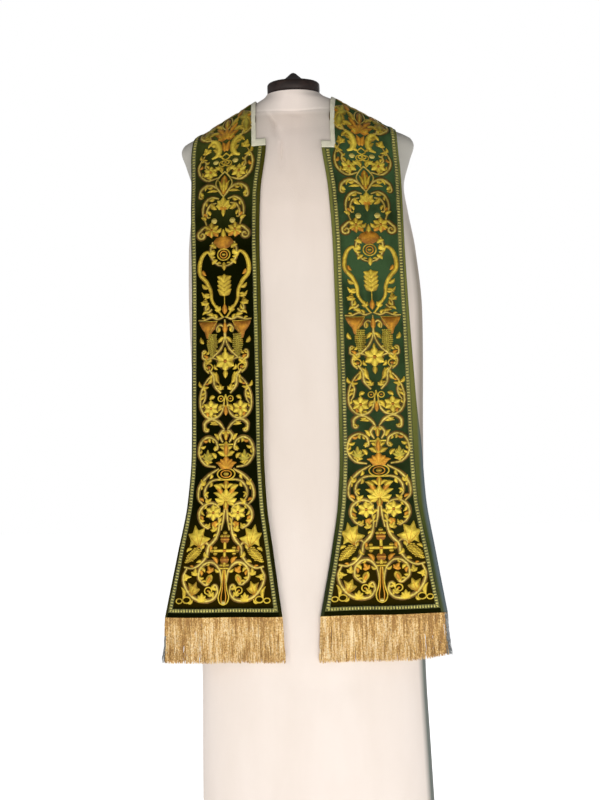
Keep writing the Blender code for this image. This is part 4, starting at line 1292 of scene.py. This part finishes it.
def make_binding(panel, word, tape, thread):
    """Tape folded over the neck edge, round the notch's corner and along its level edge."""
    notch = NOTCH_STATIONS[panel.side]
    lines = []
    for inset, up in BINDING_PROFILE:
        foot = notch + inset * (FOOT_WIDTH / BINDING_WIDTH)
        down = np.linspace(SEAM_GAP, foot, BINDING_STEPS)
        level = np.linspace(inset, -NOTCH_WIDTH, FOOT_STEPS)[1:]
        station = np.concatenate([down, np.full(len(level), foot)])
        from_neck = np.concatenate([np.full(len(down), inset), level])
        lines.append(np.stack([station, from_neck, np.full(len(station), up)], -1))
    binding = panel.strip(f"binding_{word}", lines[::-1], [tape])
    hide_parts(f"neck_binding_{word}")
    inset = BINDING_WIDTH - STITCH_INSET
    foot = notch + FOOT_WIDTH - STITCH_INSET
    starts = [((inset, station), (0, 1))
              for station in np.arange(STITCH_START, foot - STITCH_CLEAR, STITCH_PITCH)]
    starts += [((from_neck, foot), (1, 0))
               for from_neck in np.arange(-NOTCH_WIDTH + TIP_CLEAR, inset - STITCH_CLEAR, STITCH_PITCH)]
    stitches = Embroidery()
    for start, way in starts:
        end = np.add(start, np.multiply(STITCH_LENGTH, way))
        stitches.satin(np.linspace(start, end, 4) / MM, STITCH_WIDTH, both=False, rise=0.3)
    from_neck, station, off = stitches.drawn()
    points = panel.at(station, from_neck, off + STITCH_LIFT)
    sewn = stitches.mesh(f"binding_stitches_{word}", points, panel.side > 0, [thread])
    return [binding, sewn]


STRANDS = 980
STRAND_STEPS = 13
STRAND_SIDES = 5
STRAND_RADIUS = 0.00068
STRAND_INSET = 0.0006        # of the first and the last strand from the hem's corners
STRAND_LAYER = 0.0008
STRAND_LUMPS = 0.12          # of the radius, up and down along a strand
STRAND_TIP = 0.55
ROOT_DEPTH = 0.0014          # of the lowest layer's roots under the velvet's face
STRAND_UNEVEN = 0.006        # the most that one is shorter than the next
STEADY_EDGE = 0.012          # strands nearer than this to a corner lean less
# How the strands stray: at the root in clumps and singly, then leaning for each metre down, bent,
# swayed out or in and crimped
CLUMPING = 0.0009
JITTER = 0.0007
LEAN = 0.024
LEAN_WAVE = 0.02
BEND = 0.0016
SWAY = 0.0012
CRIMP, CRIMP_LENGTH = 0.00035, 0.011
CRIMP_OUT, CRIMP_OUT_LENGTH = 0.0004, 0.013
GATHER, GATHER_FINE = 0.0012, 0.0010
PHASES = 6.28
SPLAY_SHARES = (0.9, 0.6)    # of the solid's splay, in the outer and in the inner half
OUTER_PART = 0.055
# Of each half: how much shorter it hangs than its solid, what its outer part's edge adds to that, and how far
# in the strands of its outer edge reach that are painted a slate shade, and from what share of their length
FRINGE_SHORTER = {1: 0.005, -1: 0.0055}
FRINGE_RISING = {1: 0.008, -1: 0.0}
SHADED_STRAND_REACH = {1: 0.004, -1: 0.001}
SHADED_STRAND_FROM = {1: 0, -1: 0.4}
SHADED_STRAND_UNEVEN = 0.005
# The heading: the share of its drop, and how far it stands out
HEADING_PROFILE = ((0, 0.0), (0.15, 0.0009), (0.4, 0.0012), (0.6, 0.0006), (0.8, 0.0011), (1.0, 0.0))
HEADING_DROP = 0.55 * FRINGE_STRIP
HEADING_INSET = 0.0004       # from the hem's corners, and of its edges under the velvet's face
HEADING_UP = 0.0002
HEADING_STEPS = 150
HEADING_TURNS = 22


def strand_lines(panel, chance, across):
    """The strands' middle lines, how far down their steps are, and where their twists start."""
    width = band_width(HEM_STATION)
    layer = np.arange(STRANDS) % 3
    clumped = across + CLUMPING * np.sin(across * 900 + layer) + chance.uniform(-JITTER, JITTER, STRANDS)
    clumped = np.clip(clumped, across[0], across[-1])
    root = panel.at(HEM_STATION, clumped, STRAND_LAYER * layer - ROOT_DEPTH)
    from_middle = root[:, 0] - root[:, 0].mean()
    outer_part = np.clip((across - width + OUTER_PART) / OUTER_PART, 0, 1)
    length = FRINGE_LENGTH + FRINGE_STRIP - chance.uniform(0, STRAND_UNEVEN, STRANDS)
    length -= STRAND_LAYER * (layer == 0)
    length -= FRINGE_SHORTER[panel.side] + FRINGE_RISING[panel.side] * outer_part
    free = np.clip(np.minimum(clumped + NOTCH_WIDTH, width - clumped) / STEADY_EDGE, 0, 1)
    lean = (chance.normal(0, LEAN, STRANDS) + LEAN_WAVE * np.sin(across * 160)) * free
    bend = chance.normal(0, BEND, STRANDS)[:, None]
    phase = chance.uniform(0, PHASES, STRANDS)[:, None]
    sway = (chance.normal(0, SWAY, STRANDS) + SWAY * np.cos(across * 210))[:, None]
    gather = GATHER * np.sin(across * 620 + 1.3 * np.sin(across * 90)) + GATHER_FINE * np.sin(across * 1500)
    splay = FRINGE_SPLAY * np.where(from_middle * panel.side > 0, *SPLAY_SHARES) * from_middle + gather * free
    t = np.linspace(0, 1, STRAND_STEPS)[None]
    drop = length[:, None] * t
    wave = bend * np.sin(np.pi * 1.6 * t + phase) * t
    crimp = CRIMP * np.sin(2 * np.pi * drop / CRIMP_LENGTH + phase)
    x = root[:, :1] + splay[:, None] * t + lean[:, None] * drop * t + wave + crimp
    y = root[:, 1:2] + sway * t + CRIMP_OUT * np.cos(2 * np.pi * drop / CRIMP_OUT_LENGTH + phase)
    return np.stack([x, y, root[:, 2:] - drop], -1), drop, phase


def make_fringe(panel, word, cords):
    """Fine twisted strands in three layers under a stitched heading, with strands at the stole's outer edge
    painted a slate shade."""
    chance = np.random.default_rng(SEED + panel.side)
    width = band_width(HEM_STATION)
    across = np.linspace(-NOTCH_WIDTH + STRAND_INSET, width - STRAND_INSET, STRANDS)
    line, drop, phase = strand_lines(panel, chance, across)
    radius = STRAND_RADIUS * (1 + STRAND_LUMPS * np.sin(drop * 1300 + phase))
    radius[:, -1] *= STRAND_TIP
    ring = np.c_[circle(STRAND_SIDES), np.zeros(STRAND_SIDES)]
    points = line[:, :, None] + radius[:, :, None, None] * ring
    wall = np.roll(tube_faces(STRAND_STEPS, STRAND_SIDES), 1, axis=1)
    tip = np.arange(STRAND_STEPS * STRAND_SIDES)[:-STRAND_SIDES - 1:-1]
    faces = []
    for start in range(0, STRANDS * STRAND_STEPS * STRAND_SIDES, STRAND_STEPS * STRAND_SIDES):
        faces += [*(start + wall).tolist(), (start + tip).tolist()]
    turned = np.arange(STRAND_SIDES) / STRAND_SIDES
    uvs = np.stack(np.broadcast_arrays(drop[:, :, None] * 100, turned), -1)
    # Painted shade: the outer strands take the slate material, only low down on the wearer's right half
    reach = SHADED_STRAND_REACH[panel.side] + SHADED_STRAND_UNEVEN * chance.random(STRANDS)
    low = np.arange(len(wall) + 1) > SHADED_STRAND_FROM[panel.side] * (len(wall) + 1)
    painted_shade = (across > width - reach)[:, None] & low
    strands = mesh_object(f"fringe_strands_{word}", points, faces,
                          [cords["fringe_strand"], cords["fringe_shaded"]], uvs, painted_shade.ravel())
    edge = np.linspace(-NOTCH_WIDTH + HEADING_INSET, width - HEADING_INSET, HEADING_STEPS)
    rows = [panel.at(HEM_STATION - HEADING_UP, edge, out - HEADING_INSET) - (0, 0, share * HEADING_DROP)
            for share, out in HEADING_PROFILE]
    turns = np.linspace(0, HEADING_TURNS, len(edge))
    uvs = np.stack(np.meshgrid(turns, np.linspace(0, 1, len(rows))), -1)
    heading = mesh_object(f"fringe_heading_{word}", rows, grid_faces(len(rows), len(edge), panel.side > 0),
                          [cords["fringe_heading"]], uvs)
    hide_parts(f"fringe_{word}")
    return [strands, heading]


# ---------------------------------------------------------------- the form and its stand

FORM_SEGMENTS = 288
COLLAR_SEAM = 1.539
COLLAR_DIP = 0.006           # how much lower the collar's seam lies in front
SEAM_DEPTH = 0.0005
SEAM_REACH = 0.0024
# Soft wrinkles of the cover in front, and turned about at the back: x and height of both ends,
# reach and depth
COVER_WRINKLES = (
    (-0.053, 1.535, -0.026, 1.476, 0.0040, 0.0052),
    (-0.028, 1.505, -0.024, 1.405, 0.0042, 0.0046),
    (-0.050, 1.500, -0.046, 1.440, 0.0080, 0.0012),
    (0.055, 1.515, 0.040, 1.450, 0.010, 0.0012),
    (-0.020, 1.528, 0.020, 1.524, 0.006, 0.0008),
    (-0.060, 1.160, 0.010, 0.980, 0.030, 0.0014),
    (0.050, 1.000, 0.030, 0.700, 0.028, 0.0012),
    (-0.090, 0.470, 0.060, 0.440, 0.020, 0.0012),
    (0.020, 0.430, 0.140, 0.470, 0.022, 0.0014),
)
# The form's rings: from and to which height, and how many
FORM_RINGS = (
    (FORM_FOOT, 1.30, 90),
    (1.30, 1.5, 50),
    (1.5, NECK_TOP, 46),
    (COLLAR_SEAM - COLLAR_DIP - 0.003, COLLAR_SEAM + 0.003, 14),
)
CAP_SIDES = 96
# The cap's rim under its rounding: how far in from its radius, and how far up from its foot
CAP_RIM = ((0, 0.0045), (0.0006, 0.0036), (0, 0.0027), (0, 0.0006), (0.0006, 0))


def make_form(finish):
    """The covered body, finer than its solid, with the cover's seams and soft wrinkles."""
    heights = np.unique(np.concatenate([np.linspace(*rings) for rings in FORM_RINGS]))
    c, s = circle(FORM_SEGMENTS).T[:, None]
    height = heights[:, None]
    exponent = 2 / body("power", height)
    x = body("centre_x", height) + body("half_width", height) * np.sign(c) * np.abs(c) ** exponent
    y = body("centre_y", height) + body("half_depth", height) * np.sign(s) * np.abs(s) ** exponent
    points = np.stack([x, y, np.broadcast_to(height, x.shape)], -1)
    seam = COLLAR_SEAM - COLLAR_DIP * np.clip(-s, 0, 1) * (1 - np.abs(c))
    sunk = SEAM_DEPTH * np.exp(-(((height - seam) / SEAM_REACH) ** 2))
    for x0, z0, x1, z1, reach, depth in COVER_WRINKLES:
        for face in (-1, 1):
            travel, apart = beside_line(np.stack([-face * x, points[..., 2]], -1), (x0, z0), (x1, z1))
            travel = np.clip(travel, 0, 1)
            apart = apart - 0.002 * np.sin(5 * travel)
            here = (np.sign(y) == face) * depth * np.sin(np.pi * travel)
            sunk += here * np.exp(-((apart / reach) ** 2))
    points = points - sunk[..., None] * unit(np.stack([c * 0.7, s, np.zeros_like(c)], -1))
    foot = np.arange(FORM_SEGMENTS)[::-1]
    top = np.arange(len(heights) * FORM_SEGMENTS)[-FORM_SEGMENTS:]
    walls = tube_faces(len(heights), FORM_SEGMENTS, flipped=True)
    form = mesh_object("covered_body", points, [*walls.tolist(), foot.tolist(), top.tolist()], [finish])
    form.data.set_sharp_from_angle(angle=math.radians(50))
    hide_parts("form_body")
    return form


def make_cap(finish):
    """The turned cap, with its rounded rim, a fine groove and a pointed knob."""
    foot = NECK_TOP + SEAM_GAP
    top = foot + CAP_HEIGHT
    out = np.linspace(0, 1, 14)
    turn = np.linspace(0, math.pi / 2, 9)
    knob = np.c_[KNOB_RADIUS * out, top + KNOB_HEIGHT * smooth(out, *np.array(KNOB_PROFILE, float).T)]
    rim = np.c_[CAP_RADIUS - CAP_ROUNDING * (1 - np.sin(turn)), top - CAP_ROUNDING * (1 - np.cos(turn))]
    radius, height = np.concatenate([
        knob, [(KNOB_RADIUS + 0.002, top + 0.0003)], rim,
        [(CAP_RADIUS - inset, foot + up) for inset, up in CAP_RIM], [(0, foot)],
    ]).T
    centre = np.array((body("centre_x", foot), body("centre_y", foot)))
    flat = centre + radius[:, None, None] * circle(CAP_SIDES)
    points = np.concatenate([flat, np.broadcast_to(height[:, None, None], (*flat.shape[:2], 1))], -1)
    cap = mesh_object("turned_cap", points, tube_faces(len(radius), CAP_SIDES), [finish])
    weld = cap.modifiers.new("Weld", "WELD")
    weld.merge_threshold = 0.00002
    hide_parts("neck_cap")
    return cap


# ---------------------------------------------------------------- stage

FLOOR_REACH = 12
FLOOR_DROP = 0.001
ROOM_LIGHT = 0.27            # of the white room on the object, where the camera sees it as 1
# Lights: place, the point they face, size, power and colour
LIGHTS = {
    "key": ((0.6, -2.6, 0.15), (0, 0, 0.45), (1.0, 1.0), 34, (1.0, 0.985, 0.965)),
    "fill": ((-1.6, -2.2, 1.3), (0, 0, 0.9), (1.4, 1.8), 9, (1.0, 0.98, 0.96)),
    "back": ((0.3, 2.6, 1.8), (0, 0, 0.9), (1.6, 1.6), 30, (1, 1, 1)),
}


def make_stage():
    """A white room: a pale floor, an even white surround, and large soft lights."""
    mesh = bpy.data.meshes.new("floor")
    around = ((-1, -1), (1, -1), (1, 1), (-1, 1))
    corners = [(FLOOR_REACH * x, FLOOR_REACH * y, -FLOOR_DROP) for x, y in around]
    mesh.from_pydata(corners, [], [(0, 1, 2, 3)])
    pale = Finish("pale_floor", 0.7, Emission_Color=(1, 1, 1, 1), Emission_Strength=0.85)
    tone = pale.ramp(pale.noise(3, 3), (0.3, (0.80, 0.80, 0.79)), (0.7, (0.84, 0.84, 0.83)))
    mesh.materials.append(pale.done(tone))
    placed("floor", mesh)
    world = bpy.data.worlds.new("white_room")
    bpy.context.scene.world = world
    world.use_nodes = True
    tree = world.node_tree
    seen = tree.nodes["Background"]
    seen.inputs["Color"].default_value = (1, 1, 1, 1)
    seen.inputs["Strength"].default_value = 1.0
    lighting = node(tree, "Background", {"Color": (0.98, 0.98, 1.0, 1), "Strength": ROOM_LIGHT})
    chosen = node(tree, "MixShader", {0: node(tree, "LightPath").outputs["Is Camera Ray"],
                                      1: lighting.outputs[0], 2: seen.outputs[0]})
    tree.links.new(chosen.outputs[0], tree.nodes["World Output"].inputs["Surface"])
    for name, (place, target, size, power, colour) in LIGHTS.items():
        data = bpy.data.lights.new(name, "AREA")
        data.shape = "RECTANGLE"
        data.size, data.size_y = size
        data.energy = power
        data.color = colour
        light = placed(name, data)
        light.location = place
        light.rotation_euler = (Vector(target) - Vector(place)).to_track_quat("-Z", "Y").to_euler()
    bpy.context.scene.view_settings.view_transform = "Standard"


def make_camera():
    data = bpy.data.cameras.new("camera")
    data.sensor_width = SENSOR
    data.lens = CAMERA_LENS
    camera = placed("camera", data)
    level = Vector((math.cos(CAMERA_YAW), math.sin(CAMERA_YAW), 0))
    forward = Vector((-math.sin(CAMERA_YAW) * math.cos(CAMERA_PITCH),
                      math.cos(CAMERA_YAW) * math.cos(CAMERA_PITCH), math.sin(CAMERA_PITCH)))
    upright = level.cross(forward)
    c, s = math.cos(CAMERA_ROLL), math.sin(CAMERA_ROLL)
    right, up = c * level + s * upright, c * upright - s * level
    turn = Matrix((right, up, -forward)).transposed()
    camera.matrix_world = Matrix.Translation(CAMERA_PLACE) @ turn.to_4x4()
    bpy.context.scene.camera = camera


def main():
    make_camera()
    make_stage()
    velvets = {side: velvet_finish(*values) for side, values in VELVETS.items()}
    threads = [thread_finish(*values) for values in THREADS]
    cords = {name: cord_finish(name, *values) for name, values in CORDS.items()}
    bars = thread_finish("braid_bars", (0.25, 0.218, 0.045), (0.60, 0.54, 0.155))
    tape = tape_finish()
    sewing = thread_finish("sewing_cream", (0.50, 0.48, 0.34), (0.82, 0.80, 0.62), 0.0, 0.6)
    work = Embroidery()
    for draw in DRAWINGS:
        draw(work)
    for side, word in ((1, "left"), (-1, "right")):
        panel = Panel(side)
        cloth = make_cloth(panel, word, velvets[side])
        carried = [make_embroidery(panel, word, work, threads),
                   *make_braid(panel, word, cords["braid_strip"], bars),
                   *make_binding(panel, word, tape, sewing), *make_fringe(panel, word, cords)]
    make_form(jersey_finish())
    make_cap(wood_finish())
    steel = metal_finish("black_steel", (0.02, 0.02, 0.02), 0.4)
    for name in ("stand_pole", "stand_base"):
        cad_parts[name].data.materials[0] = steel


main()
